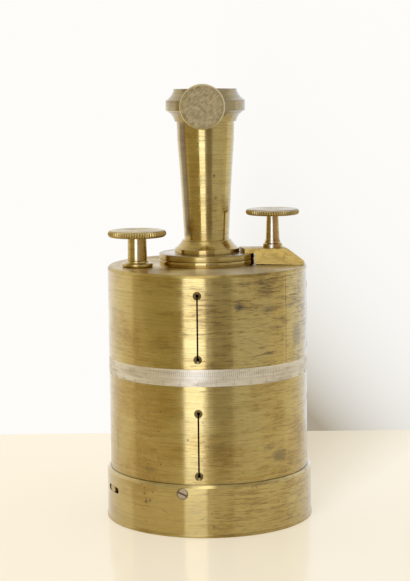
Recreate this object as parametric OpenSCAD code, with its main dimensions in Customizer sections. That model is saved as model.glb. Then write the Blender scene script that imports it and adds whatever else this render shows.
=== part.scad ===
// Surveyors square: two sighting drums, one turning on the other, with a compass at one end
// and a staff socket at the other. It stands on the lid of its compass end, socket up.
// Lengths are in millimetres. The origin is on the drum axis, under the lid.
// An azimuth is counted from the side with the staff screw (-Y) towards +X.

/* [Drums] */
// outside diameter of both drums
drum_d = 80; // [77:0.5:83]
// wall of both drum tubes
wall = 2; // [1.8:0.1:2.4]
// height of the lower drum that shows above the compass box
sighting_h = 42.4; // [41.5:0.1:45]
// height of the upper drum from the parting line to its end face
fixed_h = 39.1; // [38.5:0.1:42]
// thickness of the plate that closes the upper drum
end_plate_t = 2.4; // [2:0.1:3]
// radius of the turned edge round that plate
end_edge_r = 1.3; // [0.8:0.1:1.6]

/* [Sights] */
// azimuth of the first of the four pairs of slits
cross_turn = -5.7; // [-10:0.1:0]
// width of the saw cut in each sight
slit_w = 0.65; // [0.4:0.05:0.9]
// distance between the two peep holes of one sight
slit_span = 24.6; // [22:0.1:25]
// diameter of a peep hole
peep_d = 1.3; // [1:0.1:1.8]
// diameter of the dish round a peep hole
peep_dish_d = 3.4; // [2.6:0.1:3.8]

/* [Graduated bands] */
// height of the silvered degree band on the lower drum
degree_band_h = 3.96; // [3:0.02:4.4]
// height of the silvered vernier band on the upper drum
vernier_band_h = 2.73; // [2:0.02:3.2]
// thickness of both bands
band_t = 0.8; // [0.6:0.05:1]

/* [Compass box] */
// height of the compass box with its lid
box_h = 20.5; // [20:0.1:23]
// how far the box stands out past the drum
box_proud = 1.5; // [1.2:0.1:2]
// thickness of the lid
lid_t = 1.1; // [0.9:0.1:1.5]
// how far the lid stands out past the box
lid_proud = 0.3; // [0.1:0.1:0.6]
// depth of the room for the needle
chamber_h = 5.2; // [5:0.1:6]
// azimuth of the needle lifter at rest
lifter_turn = -68.75; // [-75:0.05:-60]
// azimuth of the needle's north end
needle_turn = 24; // [0:1:50]

/* [Turning drive] */
// teeth of the ring inside the lower drum
ring_teeth = 78; // [66:1:84]
// teeth of the pinion
pinion_teeth = 14; // [12:1:16]
// width of the ring teeth along the axis
gear_face = 3.2; // [2.6:0.1:3.6]
// azimuth of the pinion and its knob
drive_turn = -74; // [-80:0.5:-65]
// diameter of the pinion's milled knob
drive_knob_d = 23.3; // [21:0.1:24]
// height of the pinion's knob above the end face, to its top
drive_knob_h = 14.6; // [13:0.1:16]

/* [Staff socket] */
// diameter of the turned foot of the socket
foot_d = 38.4; // [36:0.2:39]
// thickness of each of the two discs that make the foot
foot_layer_t = 2.3; // [2:0.1:2.6]
// height of the socket above its foot
socket_h = 65.3; // [62:0.05:68]
// diameter of the straight mouth of the bore
mouth_d = 19.5; // [18.8:0.1:20]
// wall of the socket tube
socket_wall = 1.6; // [1.4:0.05:1.9]
// how much the bore narrows from the mouth to the bottom, in diameter
bore_taper = 4.8; // [4:0.1:5.2]

/* [Clamps] */
// diameter of the knob of the clamp screw
clamp_knob_d = 21.4; // [19:0.1:22]
// height of the clamp screw's knob above its bar, to its top
clamp_knob_h = 15.65; // [14:0.05:17]
// width of the clamp bar
bar_w = 9; // [8:0.1:10]
// diameter of the head of the staff screw
staff_knob_d = 17.6; // [16:0.1:18.5]
// azimuth of the staff screw
staff_screw_turn = -2.8; // [-6:0.1:2]

/* [Hidden] */
$fn = 96;
cut = 1;
run_gap = 0.05;
seat_gap = 0.03;
loose_gap = 0.35;
drum_r = drum_d / 2;
tube_bore_r = drum_r - wall;
plate_seat_r = tube_bore_r + 0.4;
part_gap = 0.05;
box_z = box_h;
part_z = box_z + sighting_h;
end_z = part_z + fixed_h;
end_low_z = end_z - end_plate_t;
box_r = drum_r + box_proud;
lid_r = box_r + lid_proud;
lid_bore_r = box_r - 1.85;
glass_bore_r = box_r - 2.1;
ledge_r = box_r - 4.3;
spigot_r = drum_r - 0.5;
skirt_h = 1.8;
bezel_z = lid_t + skirt_h + 0.3;
bezel_t = 1;
glass_z = bezel_z + bezel_t;
glass_t = 1.2;
chamber_z = glass_z + glass_t;
floor_z = chamber_z + chamber_h;
floor_t = 1.6;
rose_t = 0.6;
dial_t = 3;
dial_w = 3.8;
back_z = floor_z + floor_t;
low_sight_z = box_z + 0.369 * sighting_h;
high_sight_z = part_z + 0.481 * fixed_h;

box_screw_z = box_z - 3.34;
box_bevel = 1.06;
box_screw_turn = -14.6;
box_screw_r = 2.05;
box_screw_core_r = 1.1;

gear_plate_t = 2;
gear_screw_core_r = 0.8;
gear_z = part_z - 4.9;
gear_plate_z = gear_z - gear_plate_t;
ring_outer_r = plate_seat_r - seat_gap;
ring_pitch_r = plate_seat_r - 3.3;
tooth_module = 2 * ring_pitch_r / ring_teeth;
pinion_pitch_r = tooth_module * pinion_teeth / 2;
drive_r = ring_pitch_r - pinion_pitch_r;
backlash = 0.1;
ring_addendum = 0.66 * tooth_module;
pinion_addendum = 0.77 * tooth_module;
tip_clearance = 0.22 * tooth_module;
gear_screw_r = (ring_outer_r + ring_pitch_r + pinion_addendum + tip_clearance) / 2;
pinion_z = gear_z + 0.4;
pinion_t = gear_face - 0.4;

bearing_z = part_z + 0.5;
bearing_t = 2.2;
spindle_r = 4;
spindle_shoulder_r = 6;
spindle_thread_r = 3.2;
spindle_washer_r = 6.5;
spindle_washer_t = 0.5;
window_at = 20;
window_r = 7;
window_turn = 60;

arbor_r = 2;
bush_sleeve_r = 3.4;
bush_low_z = end_low_z - 1.9;
bush_h = 2.5;
bush_r = 6.2;
drive_stem_low_r = 3.88;
drive_stem_top_r = 3.75;
drive_head_t = 2.7;
drive_top_z = end_z + drive_knob_h;
drive_head_z = drive_top_z - drive_head_t;
drive_stem_z = end_z + bush_h + run_gap;
arbor_top_z = drive_top_z - 4;

foot_r = foot_d / 2;
seat_top_z = end_z + foot_layer_t;
foot_low_z = seat_top_z + run_gap;
foot_top_z = foot_low_z + foot_layer_t + 0.05;
stem_r = 8;
stem_thread_r = 6.5;
washer_t = 0.8;
washer_r = 11.5;
nut_t = 2.5;
base_r = 13;
base_t = 1.75;
lip_z = foot_top_z + socket_h;
mouth_r = mouth_d / 2;
mouth_z = lip_z - 20;
bore_z = foot_top_z + 3.8;
bore_low_r = mouth_r - bore_taper / 2;
tube_top_r = mouth_r + socket_wall + 0.11;
tube_base_r = bore_low_r + socket_wall;
lip_r = mouth_r + socket_wall + 1.3;
flange_r = lip_r + 3.2;
flange_z = lip_z - 8.5;
flange_t = 3.95;
screw_z = flange_z + 1.74;

screw_r = 2.5;
screw_boss_r = 5;
screw_boss_end = flange_r + 0.95;
pad_r = 3.6;
pad_t = 1.2;
pad_face = mouth_r + 0.15;
staff_travel = 2;
staff_neck_r = 3.3;
staff_neck_end = screw_boss_end + staff_travel + 0.3;
staff_head_z = staff_neck_end + 2.4;
staff_head_t = 4;

bar_top_z = foot_top_z + 1.75;
bar_in = foot_r + 0.5;
bar_out = drum_r - 0.6;
bar_skew = 13.7;
bar_slope_l = 6.3;
bar_end_h = 1.6;
bar_foot_l = 7;
clamp_r = (bar_in + bar_out) / 2 - 3.05;
clamp_turn = cross_turn + 90;
clamp_core_r = 1.5;
clamp_boss_r = 4.2;
clamp_boss_t = 3;
clamp_neck_r = 2.6;
clamp_stem_r = 2.35;
clamp_stud_h = 8;
clamp_top_z = bar_top_z + clamp_knob_h;
clamp_head_t = 2.3;
dowel_r = 0.8;
dowel_at = bar_out - 5.5;
dowel_way = 2.9;
seat_screw_r = 1;
seat_screw_at = 15;

pivot_tip_z = chamber_z + 1.5;
blade_z = chamber_z + 1.8;
blade_t = 0.4;
needle_l = ledge_r - 4.8;
cap_r = 1.9;
lift_travel = 0.45;
lifter_sweep = 4;
lift_z = blade_z + blade_t;
cross_z = back_z + 0.1;
cross_t = 0.5;
arm_z = back_z + 1.65;
arm_t = 0.6;
lever_way_w = 14;
lever_way_h = 2.9;
post_at = 3.7;
post_r = 0.7;
ramp_at = 14;
ramp_slope = lift_travel / (ramp_at * lifter_sweep * PI / 180);
ramp_mid_z = (cross_z + cross_t + arm_z - 0.5) / 2;
stud_r = 1.5;
stud_shoulder_r = 1.95;
slot_z = back_z + 1.35;
slot_half_h = 1.2;
slot_half_l = 5.3;
slot_shift_turn = 0.8;
slider_half_l = 2.6;
slider_half_h = 1.1;

brass = [0.78, 0.66, 0.36];
pale = [0.82, 0.8, 0.74];
steel = [0.45, 0.46, 0.48];
blue = [0.15, 0.2, 0.35];

function arc(cx, cz, r, a0, a1, n) =
    [for (i = [0:n]) [cx + r * cos(a0 + (a1 - a0) * i / n), cz + r * sin(a0 + (a1 - a0) * i / n)]];

// Involute of a circle, in degrees: how far a flank has turned where it leans by angle a.
function involute(a) = tan(a) * 180 / PI - a;

// Half the angle that a tooth fills at radius rho: its half angle at the pitch circle, plus
// what the involute flank has gained or lost between that circle and rho.
function half_tooth(rho, base, pitch_half) =
    pitch_half + involute(20) - involute(acos(min(1, base / rho)));

// Outline of a toothed wheel. radii run from the root to the tip along one flank, and trim
// is how much of the tooth's arc at the pitch circle is left off or put on.
function toothed(teeth, pitch_r, radii, trim) =
    let (base = pitch_r * cos(20), half = 90 / teeth - trim / pitch_r * 90 / PI, n = len(radii))
    [for (t = [0:teeth - 1]) for (k = [0:2 * n - 1])
        let (rho = k < n ? radii[k] : radii[2 * n - 1 - k], side = k < n ? -1 : 1)
        let (a = 360 * t / teeth + side * half_tooth(max(rho, base), base, half))
        [rho * cos(a), rho * sin(a)]];

// Turns its children so that local +X points outwards at azimuth a.
module at_azimuth(a) {
    rotate([0, 0, a - 90]) children();
}

// A plain ring or, with inner 0, a disc.
module ring(outer, inner, low, high) {
    difference() {
        translate([0, 0, low]) cylinder(h = high - low, r = outer);
        if (inner > 0) translate([0, 0, low - cut]) cylinder(h = high - low + 2 * cut, r = inner);
    }
}

// A drill along the local X axis, from one distance to another.
module bore_x(r, from, to) {
    translate([from, 0, 0]) rotate([0, 90, 0]) cylinder(h = to - from, r = r);
}

// A prism along the local X axis whose section is a slot with round ends.
module slot_prism(half_l, half_h, from, to) {
    right = arc(half_l - half_h, 0, half_h, -90, 90, 10);
    left = arc(half_h - half_l, 0, half_h, 90, 270, 10);
    translate([from, 0, 0]) rotate([90, 0, 90]) linear_extrude(to - from) polygon(concat(right, left));
}

// The cuts of the four sights round a drum, at height mid.
module sight_cuts(mid) {
    for (q = [0:3]) at_azimuth(cross_turn + 90 * q) {
        translate([tube_bore_r - cut, -slit_w / 2, mid - slit_span / 2])
            cube([wall + 2 * cut, slit_w, slit_span]);
        for (s = [-1, 1]) translate([0, 0, mid + s * slit_span / 2]) {
            bore_x(peep_d / 2, tube_bore_r - cut, drum_r + cut);
            translate([drum_r - (peep_dish_d - peep_d) / 4, 0, 0]) rotate([0, 90, 0])
                cylinder(h = 2 * (peep_dish_d - peep_d) / 4, r1 = peep_d / 2, r2 = peep_dish_d - peep_d / 2);
        }
    }
}

module compass_lid() {
    color(brass) {
        cylinder(h = lid_t, r = lid_r);
        ring(lid_bore_r - run_gap, lid_bore_r - 1.05, lid_t, lid_t + skirt_h);
    }
}

module box_screw_holes(r, from, to) {
    for (q = [0:2]) at_azimuth(box_screw_turn + 120 * q)
        translate([0, 0, box_screw_z]) bore_x(r, from, to);
}

module sighting_tube() {
    top = part_z - part_gap;
    color(brass) difference() {
        union() {
            ring(drum_r, tube_bore_r, box_z, top);
            ring(spigot_r - seat_gap, tube_bore_r, back_z, box_z + cut);
        }
        sight_cuts(low_sight_z);
        ring(plate_seat_r, 0, gear_plate_z, top + cut);
        ring(drum_r + cut, drum_r - band_t, part_z - degree_band_h, top + cut);
        box_screw_holes(box_screw_core_r + seat_gap, tube_bore_r - cut, drum_r);
        at_azimuth(lifter_turn + 1) translate([tube_bore_r - cut, -lever_way_w / 2, back_z - cut])
            cube([wall + 2, lever_way_w, cut + lever_way_h]);
    }
}

module degree_band() {
    color(pale) ring(drum_r, drum_r - band_t + seat_gap, part_z - degree_band_h, part_z - part_gap);
}

module gear_screw_shapes(r, low, high) {
    for (q = [0:5]) at_azimuth(drive_turn + 30 + 60 * q)
        translate([gear_screw_r, 0, low]) cylinder(h = high - low, r = r);
}

// Three round windows through a plate inside the drums, the first at azimuth turn.
module windows(turn, low, high) {
    for (q = [0:2]) at_azimuth(turn + 120 * q)
        translate([window_at, 0, low - cut]) cylinder(h = high - low + 2 * cut, r = window_r);
}

module gear_plate() {
    color(brass) difference() {
        ring(plate_seat_r - seat_gap, spindle_r + seat_gap, gear_plate_z, gear_z);
        gear_screw_shapes(gear_screw_core_r + seat_gap, gear_plate_z - cut, gear_z + cut);
        windows(window_turn, gear_plate_z, gear_z);
    }
}

module ring_gear() {
    tooth_h = ring_addendum + pinion_addendum + tip_clearance;
    radii = [for (i = [0:3]) ring_pitch_r - ring_addendum + i / 3 * tooth_h];
    spaces = toothed(ring_teeth, ring_pitch_r, radii, -backlash);
    color(brass) difference() {
        translate([0, 0, gear_z]) cylinder(h = gear_face, r = ring_outer_r);
        at_azimuth(drive_turn) translate([0, 0, gear_z - cut])
            linear_extrude(gear_face + 2 * cut) polygon(spaces);
        gear_screw_shapes(gear_screw_core_r + seat_gap, gear_z - cut, gear_z + gear_face - 0.8);
    }
}

module gear_screws() {
    color(steel) {
        gear_screw_shapes(gear_screw_core_r, gear_plate_z - 0.1, gear_z + gear_face - 0.9);
        intersection() {
            gear_screw_shapes(1.4, gear_plate_z - 0.9, gear_plate_z);
            cylinder(h = end_z, r = tube_bore_r - 0.1);
        }
    }
}

module spindle() {
    top = bearing_z + bearing_t;
    color(steel) {
        translate([0, 0, gear_plate_z - 1.5]) cylinder(h = 1.5, r = 7);
        translate([0, 0, gear_plate_z - cut]) cylinder(h = gear_plate_t + 2 * cut, r = spindle_r);
        translate([0, 0, gear_z]) cylinder(h = bearing_z - gear_z, r = spindle_shoulder_r);
        translate([0, 0, gear_z]) cylinder(h = top + run_gap - gear_z, r = spindle_r);
        translate([0, 0, gear_z]) cylinder(h = top + 2 - gear_z, r = spindle_thread_r);
    }
}

module spindle_washer() {
    low = bearing_z + bearing_t + run_gap;
    color(steel) ring(spindle_washer_r, spindle_thread_r + seat_gap, low, low + spindle_washer_t);
}

module spindle_nut() {
    low = bearing_z + bearing_t + run_gap + spindle_washer_t;
    color(brass) difference() {
        translate([0, 0, low]) cylinder(h = 1.4, r = 5.6, $fn = 6);
        translate([0, 0, low - cut]) cylinder(h = 4, r = spindle_thread_r + seat_gap);
    }
}

module compass_box() {
    outline = [[ledge_r, lid_t], [box_r, lid_t], [box_r, box_z - box_bevel], [box_r - box_bevel, box_z],
        [ledge_r, box_z]];
    color(brass) difference() {
        rotate_extrude() polygon(outline);
        ring(lid_bore_r, 0, lid_t - cut, bezel_z);
        ring(glass_bore_r, 0, lid_t - cut, chamber_z);
        ring(spigot_r, 0, floor_z, box_z + cut);
        box_screw_holes(box_screw_core_r + 0.3, ledge_r, box_r + cut);
        box_screw_holes(box_screw_r + seat_gap, spigot_r + 1, box_r + cut);
        at_azimuth(lifter_turn + slot_shift_turn) translate([0, 0, slot_z])
            slot_prism(slot_half_l, slot_half_h, ledge_r, box_r + cut);
    }
}

module box_screws() {
    color(steel) {
        box_screw_holes(box_screw_core_r, tube_bore_r + 0.1, spigot_r + 1.1);
        box_screw_holes(box_screw_r, spigot_r + 1, box_r + 0.04);
    }
}

module compass_floor() {
    color(brass) difference() {
        ring(spigot_r - seat_gap, stud_r + seat_gap, floor_z, back_z);
        post_holes();
    }
}

// The holes that the posts of the lift ring pass through.
module post_holes() {
    at_azimuth(lifter_turn) for (s = [-1, 1]) translate([post_at * s, 0, floor_z - cut])
        cylinder(h = floor_t + 2 * cut, r = post_r + loose_gap);
}

module compass_rose() {
    color(pale) difference() {
        ring(ledge_r - dial_w - 0.1, stud_r + seat_gap, floor_z - rose_t, floor_z);
        post_holes();
    }
}

module dial_ring() {
    color(pale) ring(ledge_r - seat_gap, ledge_r - dial_w, floor_z - dial_t, floor_z);
}

module needle_pivot() {
    color(steel) {
        translate([0, 0, pivot_tip_z]) cylinder(h = 1.4, r1 = 0.1, r2 = 1.2);
        translate([0, 0, pivot_tip_z + 1.4]) cylinder(h = floor_z - rose_t - pivot_tip_z - 1.4, r = 1.2);
        translate([0, 0, floor_z - rose_t]) cylinder(h = back_z + 1 - floor_z, r = stud_r);
        translate([0, 0, back_z]) cylinder(h = arm_z - back_z - run_gap, r = stud_shoulder_r);
        translate([0, 0, back_z]) cylinder(h = arm_z + arm_t + run_gap + 0.9 - back_z, r = stud_r);
    }
}

module lever_nut() {
    low = arm_z + arm_t + run_gap;
    color(steel) ring(2.9, stud_r + seat_gap, low, low + 0.9);
}

module compass_glass() {
    color([0.8, 0.9, 0.9, 0.4]) translate([0, 0, glass_z]) cylinder(h = glass_t, r = glass_bore_r - seat_gap);
}

module glass_bezel() {
    color(brass) ring(glass_bore_r - seat_gap, ledge_r - 0.6, bezel_z, glass_z);
}

module fixed_tube() {
    low = part_z + part_gap;
    top = end_z - end_edge_r;
    color(brass) difference() {
        ring(drum_r, tube_bore_r, low, top);
        sight_cuts(high_sight_z);
        ring(plate_seat_r, 0, low - cut, bearing_z + bearing_t);
        ring(drum_r + cut, drum_r - band_t, low - cut, part_z + vernier_band_h);
    }
}

module end_plate() {
    edge = arc(drum_r - end_edge_r, end_z - end_edge_r, end_edge_r, 0, 90, 6);
    seat = tube_bore_r - seat_gap;
    outline = concat([[0, end_low_z], [seat, end_low_z], [seat, end_z - end_edge_r]], edge, [[0, end_z]]);
    color(brass) difference() {
        rotate_extrude() polygon(outline);
        end_plate_hole(0, 0, stem_r + loose_gap);
        end_plate_hole(drive_turn, drive_r, bush_sleeve_r + seat_gap);
        end_plate_hole(clamp_turn, clamp_r, clamp_neck_r + seat_gap);
        seat_screw_shapes(seat_screw_r + seat_gap, end_low_z - cut, end_z + cut);
        at_azimuth(clamp_turn) translate([dowel_at, 0, end_low_z + 0.4])
            cylinder(h = end_plate_t + cut, r = dowel_r + seat_gap);
    }
}

// A hole through the end plate, at a distance from the drum axis along an azimuth.
module end_plate_hole(turn, at, r) {
    at_azimuth(turn) translate([at, 0, end_low_z - cut]) cylinder(h = end_plate_t + 2 * cut, r = r);
}

module vernier_band() {
    color(pale) ring(drum_r, drum_r - band_t + seat_gap, part_z + part_gap, part_z + vernier_band_h);
}

module bearing_plate() {
    color(brass) difference() {
        ring(plate_seat_r - seat_gap, spindle_r + run_gap, bearing_z, bearing_z + bearing_t);
        at_azimuth(drive_turn) translate([drive_r, 0, bearing_z - cut])
            cylinder(h = bearing_t + 2 * cut, r = arbor_r + run_gap);
        windows(drive_turn + window_turn, bearing_z, bearing_z + bearing_t);
    }
}

module seat_screw_shapes(r, low, high) {
    for (q = [0:2]) at_azimuth(30 + 120 * q)
        translate([seat_screw_at, 0, low]) cylinder(h = high - low, r = r);
}

module socket_seat() {
    color(brass) difference() {
        ring(foot_r, stem_r + run_gap, end_z, seat_top_z);
        seat_screw_shapes(seat_screw_r + seat_gap, end_z - cut, seat_top_z - 0.6);
    }
}

module seat_screws() {
    color(steel) {
        seat_screw_shapes(seat_screw_r, end_low_z - 0.1, seat_top_z - 0.7);
        seat_screw_shapes(seat_screw_r + 0.9, end_low_z - 1.2, end_low_z);
    }
}

module pinion_bush() {
    hole = arbor_r + run_gap;
    ball = arc(bush_r - 0.85, end_z + 0.8, 0.85, -70, 75, 6);
    neck = arc(bush_r - 0.95, end_z + bush_h - 0.1, 1, 255, 180, 4);
    sleeve = [[hole, bush_low_z], [bush_sleeve_r, bush_low_z], [bush_sleeve_r, end_z], [bush_r - 1.1, end_z]];
    top = [[bush_r - 2.1, end_z + bush_h], [hole, end_z + bush_h]];
    outline = concat(sleeve, ball, neck, top);
    color(brass) at_azimuth(drive_turn) translate([drive_r, 0, 0]) rotate_extrude() polygon(outline);
}

module clamp_boss() {
    color(brass) at_azimuth(clamp_turn) translate([clamp_r, 0, 0]) difference() {
        union() {
            translate([0, 0, end_low_z - clamp_boss_t]) cylinder(h = clamp_boss_t, r = clamp_boss_r);
            translate([0, 0, end_low_z - cut]) cylinder(h = end_plate_t + cut - 0.1, r = clamp_neck_r);
        }
        translate([0, 0, end_low_z - clamp_boss_t - cut]) cylinder(h = 10, r = clamp_core_r + run_gap);
    }
}

module clamp_dowel() {
    color(steel) at_azimuth(clamp_turn) translate([dowel_at, 0, end_low_z + 0.4])
        cylinder(h = end_plate_t + 1.9, r = dowel_r);
}

// Turns and lifts its children so that local +X is the axis of the staff screw.
module at_staff_screw() {
    at_azimuth(staff_screw_turn) translate([0, 0, screw_z]) children();
}

module staff_socket() {
    nut_z = end_low_z - washer_t - nut_t - run_gap;
    neck_z = foot_top_z + base_t;
    stem = [[0, nut_z], [stem_thread_r, nut_z], [stem_thread_r, end_low_z - run_gap],
        [stem_r, end_low_z - run_gap], [stem_r, foot_low_z]];
    foot = [[foot_r, foot_low_z], [foot_r, foot_top_z], [base_r, foot_top_z], [base_r, neck_z]];
    flare = arc(base_r + 5.75, neck_z + 8.94, 10.6, 236.5, 213.1, 5);
    tube = [[tube_base_r + 0.95, neck_z + 3.4], [tube_base_r + 0.65, neck_z + 3.55],
        [tube_base_r, neck_z + 3.6], [tube_top_r - 1.25, mouth_z - 16.3],
        [tube_top_r - 0.1, mouth_z], [tube_top_r, flange_z - 4.55]];
    cove = arc(flange_r + 2.39, flange_z - 5.5, 5.97, 166, 114.1, 6);
    cup = arc(lip_r + 5.98, lip_z + 1.08, 6.245, 243.1, 196.9, 6);
    mouth = concat([[tube_top_r + 0.89, flange_z - 4.4]], cove,
        [[flange_r, flange_z], [flange_r, flange_z + flange_t]], cup, [[lip_r, lip_z], [0, lip_z]]);
    outside = concat(stem, foot, flare, tube, mouth);
    inside = [[0, bore_z], [bore_low_r, bore_z], [mouth_r, mouth_z], [mouth_r, lip_z + cut],
        [0, lip_z + cut]];
    color(brass) difference() {
        union() {
            rotate_extrude() polygon(outside);
            at_staff_screw() bore_x(screw_boss_r, mouth_r + 0.8, screw_boss_end);
        }
        rotate_extrude() polygon(inside);
        at_staff_screw() bore_x(screw_r + run_gap, 0, screw_boss_end + cut);
        at_staff_screw() bore_x(pad_r + run_gap, 0, pad_face + pad_t + run_gap);
    }
}

module socket_washer() {
    top = end_low_z - run_gap;
    color(steel) ring(washer_r, stem_thread_r + seat_gap, top - washer_t, top);
}

module socket_nut() {
    low = end_low_z - washer_t - nut_t - run_gap;
    color(brass) difference() {
        translate([0, 0, low]) cylinder(h = nut_t, r = 11, $fn = 6);
        translate([0, 0, low - cut]) cylinder(h = nut_t + 2 * cut, r = stem_thread_r + seat_gap);
    }
}

module pressure_pad() {
    color(brass) at_staff_screw() bore_x(pad_r, pad_face, pad_face + pad_t);
}

module staff_screw() {
    color(steel) at_staff_screw() bore_x(screw_r, pad_face + pad_t, staff_head_z + 1.5);
}

module staff_knob() {
    r = staff_knob_d / 2;
    edge_low = arc(r - 1, 1, 1, 270, 360, 4);
    edge_high = arc(r - 0.95, staff_head_t - 0.95, 0.95, 0, 90, 5);
    neck = staff_head_z - staff_neck_end;
    outline = concat([[screw_r + seat_gap, -neck], [staff_neck_r, -neck], [staff_neck_r, 0]],
        edge_low, edge_high, [[0, staff_head_t], [0, 1.5], [screw_r + seat_gap, 1.5]]);
    color(brass) at_staff_screw() translate([staff_head_z, 0, 0]) rotate([0, 90, 0])
        rotate_extrude() polygon(outline);
}

// The bar's side view, its plan with the hollow inner end, and the wedge of its outer end,
// which is cut askew and so is turned about the corner of that end.
module clamp_bar() {
    rise = bar_top_z - end_z - bar_end_h;
    side = [[base_r - 1, foot_top_z], [bar_in, foot_top_z], [bar_in, end_z + 0.3],
        [bar_out - bar_foot_l, end_z + 0.1], [bar_out - bar_foot_l, end_z], [bar_out + cut, end_z],
        [bar_out + cut, bar_top_z], [base_r - 1, bar_top_z]];
    plan = [[base_r + 2.6, -bar_w / 2], [bar_out + cut, -bar_w / 2], [bar_out + cut, bar_w / 2],
        [base_r - 0.28, bar_w / 2]];
    wedge = [[-bar_out, end_z - cut], [0, end_z - cut], [0, end_z + bar_end_h],
        [-1.5 * bar_slope_l, end_z + bar_end_h + 1.5 * rise], [-bar_out, end_z + bar_end_h + 1.5 * rise]];
    color(brass) at_azimuth(clamp_turn) difference() {
        intersection() {
            translate([0, bar_w, 0]) rotate([90, 0, 0]) linear_extrude(2 * bar_w) polygon(side);
            translate([0, 0, end_z - cut]) linear_extrude(12) polygon(plan);
            translate([bar_out, -bar_w / 2, 0]) rotate([0, 0, bar_skew]) translate([0, 2 * bar_w, 0])
                rotate([90, 0, 0]) linear_extrude(3 * bar_w) polygon(wedge);
        }
        translate([clamp_r, 0, end_z - cut]) cylinder(h = 20, r = clamp_core_r + loose_gap);
        translate([dowel_at, 0, end_z - cut]) cylinder(h = cut + dowel_way, r = dowel_r + loose_gap);
    }
}

module clamp_knob() {
    r = clamp_knob_d / 2;
    head_z = clamp_top_z - clamp_head_t;
    stud_z = bar_top_z + clamp_stud_h;
    foot = [[clamp_core_r + seat_gap, 0], [3.9, 0], [3.95, 0.3], [3.95, 1.3], [3.7, 1.75], [3.1, 2.1],
        [3.05, 2.9], [2.75, 3.3]];
    edge = arc(r - clamp_head_t / 2, clamp_top_z - clamp_head_t / 2, clamp_head_t / 2, -80, 80, 8);
    outline = concat([for (p = foot) [p[0], bar_top_z + p[1]]], [[clamp_stem_r, head_z], [r - 2.4, head_z]],
        edge, [[r - 2.4, clamp_top_z], [4, clamp_top_z - 0.25], [0, clamp_top_z - 0.25]],
        [[0, stud_z], [clamp_core_r + seat_gap, stud_z]]);
    color(brass) at_azimuth(clamp_turn) translate([clamp_r, 0, 0]) rotate_extrude() polygon(outline);
}

module clamp_stud() {
    low = end_low_z - clamp_boss_t + 0.1;
    color(steel) at_azimuth(clamp_turn) translate([clamp_r, 0, low])
        cylinder(h = bar_top_z + clamp_stud_h - low, r = clamp_core_r);
}

module drive_knob() {
    r = drive_knob_d / 2;
    edge = arc(r - drive_head_t / 2, drive_top_z - drive_head_t / 2, drive_head_t / 2, -80, 80, 8);
    outline = concat([[arbor_r + seat_gap, drive_stem_z], [drive_stem_low_r, drive_stem_z]],
        [[drive_stem_top_r, drive_head_z], [r - 2.6, drive_head_z]], edge,
        [[r - 2.6, drive_top_z], [5, drive_top_z - 0.3], [0, drive_top_z - 0.3]],
        [[0, arbor_top_z], [arbor_r + seat_gap, arbor_top_z]]);
    color(brass) at_azimuth(drive_turn) translate([drive_r, 0, 0]) rotate_extrude() polygon(outline);
}

module pinion_arbor() {
    shoulder_z = pinion_z + pinion_t;
    color(steel) at_azimuth(drive_turn) translate([drive_r, 0, 0]) difference() {
        union() {
            translate([0, 0, pinion_z]) cylinder(h = arbor_top_z - pinion_z, r = arbor_r);
            translate([0, 0, shoulder_z]) cylinder(h = 1.4, r = arbor_r + 0.6);
        }
        collar_pin_shape(0.5 + seat_gap);
    }
}

module pinion_gear() {
    root = pinion_pitch_r - ring_addendum - tip_clearance;
    base = pinion_pitch_r * cos(20) + 0.01;
    tip = pinion_pitch_r + pinion_addendum;
    radii = concat([root], [for (i = [0:4]) base + i / 4 * (tip - base)]);
    color(steel) at_azimuth(drive_turn) translate([drive_r, 0, pinion_z]) difference() {
        linear_extrude(pinion_t) polygon(toothed(pinion_teeth, pinion_pitch_r, radii, backlash));
        translate([0, 0, -cut]) cylinder(h = pinion_t + 2 * cut, r = arbor_r + seat_gap);
    }
}

module collar_pin_shape(r) {
    translate([0, -4.2, bush_low_z - 0.95]) rotate([-90, 0, 0]) cylinder(h = 8.4, r = r);
}

module pinion_collar() {
    color(brass) at_azimuth(drive_turn) translate([drive_r, 0, 0]) difference() {
        ring(4.2, arbor_r + seat_gap, bush_low_z - 1.7, bush_low_z - 0.2);
        collar_pin_shape(0.5 + seat_gap);
    }
}

module collar_pin() {
    color(steel) at_azimuth(drive_turn) translate([drive_r, 0, 0]) collar_pin_shape(0.5);
}

module lift_ring() {
    low = cross_z + cross_t - 0.1;
    ramp = [[-0.5, low], [0.5, low], [0.5, ramp_mid_z - ramp_slope / 2 - 0.03],
        [-0.5, ramp_mid_z + ramp_slope / 2 - 0.03]];
    color(brass) at_azimuth(lifter_turn) {
        ring(4.6, 2.6, lift_z, lift_z + 0.6);
        for (s = [-1, 1]) translate([post_at * s, 0, lift_z + 0.3])
            cylinder(h = cross_z + 0.2 - lift_z - 0.3, r = post_r);
        difference() {
            union() {
                ring(5, 0, cross_z, cross_z + cross_t);
                translate([0, -3, cross_z]) cube([ramp_at + 1, 3.5, cross_t]);
            }
            translate([0, 0, cross_z - cut]) cylinder(h = 3, r = stud_shoulder_r + loose_gap);
        }
        translate([ramp_at - 1, 0, 0]) rotate([90, 0, 90]) linear_extrude(2) polygon(ramp);
    }
}

module lifter_lever() {
    ramp = [[-0.5, ramp_mid_z + ramp_slope / 2], [0.5, ramp_mid_z - ramp_slope / 2], [0.5, arm_z + 0.1],
        [-0.5, arm_z + 0.1]];
    color(brass) at_azimuth(lifter_turn) {
        difference() {
            union() {
                ring(4, 0, arm_z, arm_z + arm_t);
                translate([0, -2.4, arm_z]) cube([drum_r - 1, 4.8, arm_t]);
            }
            translate([0, 0, arm_z - cut]) cylinder(h = 3, r = stud_r + run_gap);
        }
        translate([ramp_at - 1, 0, 0]) rotate([90, 0, 90]) linear_extrude(2) polygon(ramp);
        intersection() {
            translate([0, 0, slot_z])
                slot_prism(slider_half_l, slider_half_h, drum_r - 1.9, box_r + cut);
            cylinder(h = box_z, r = box_r - 0.04);
        }
    }
}

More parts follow.
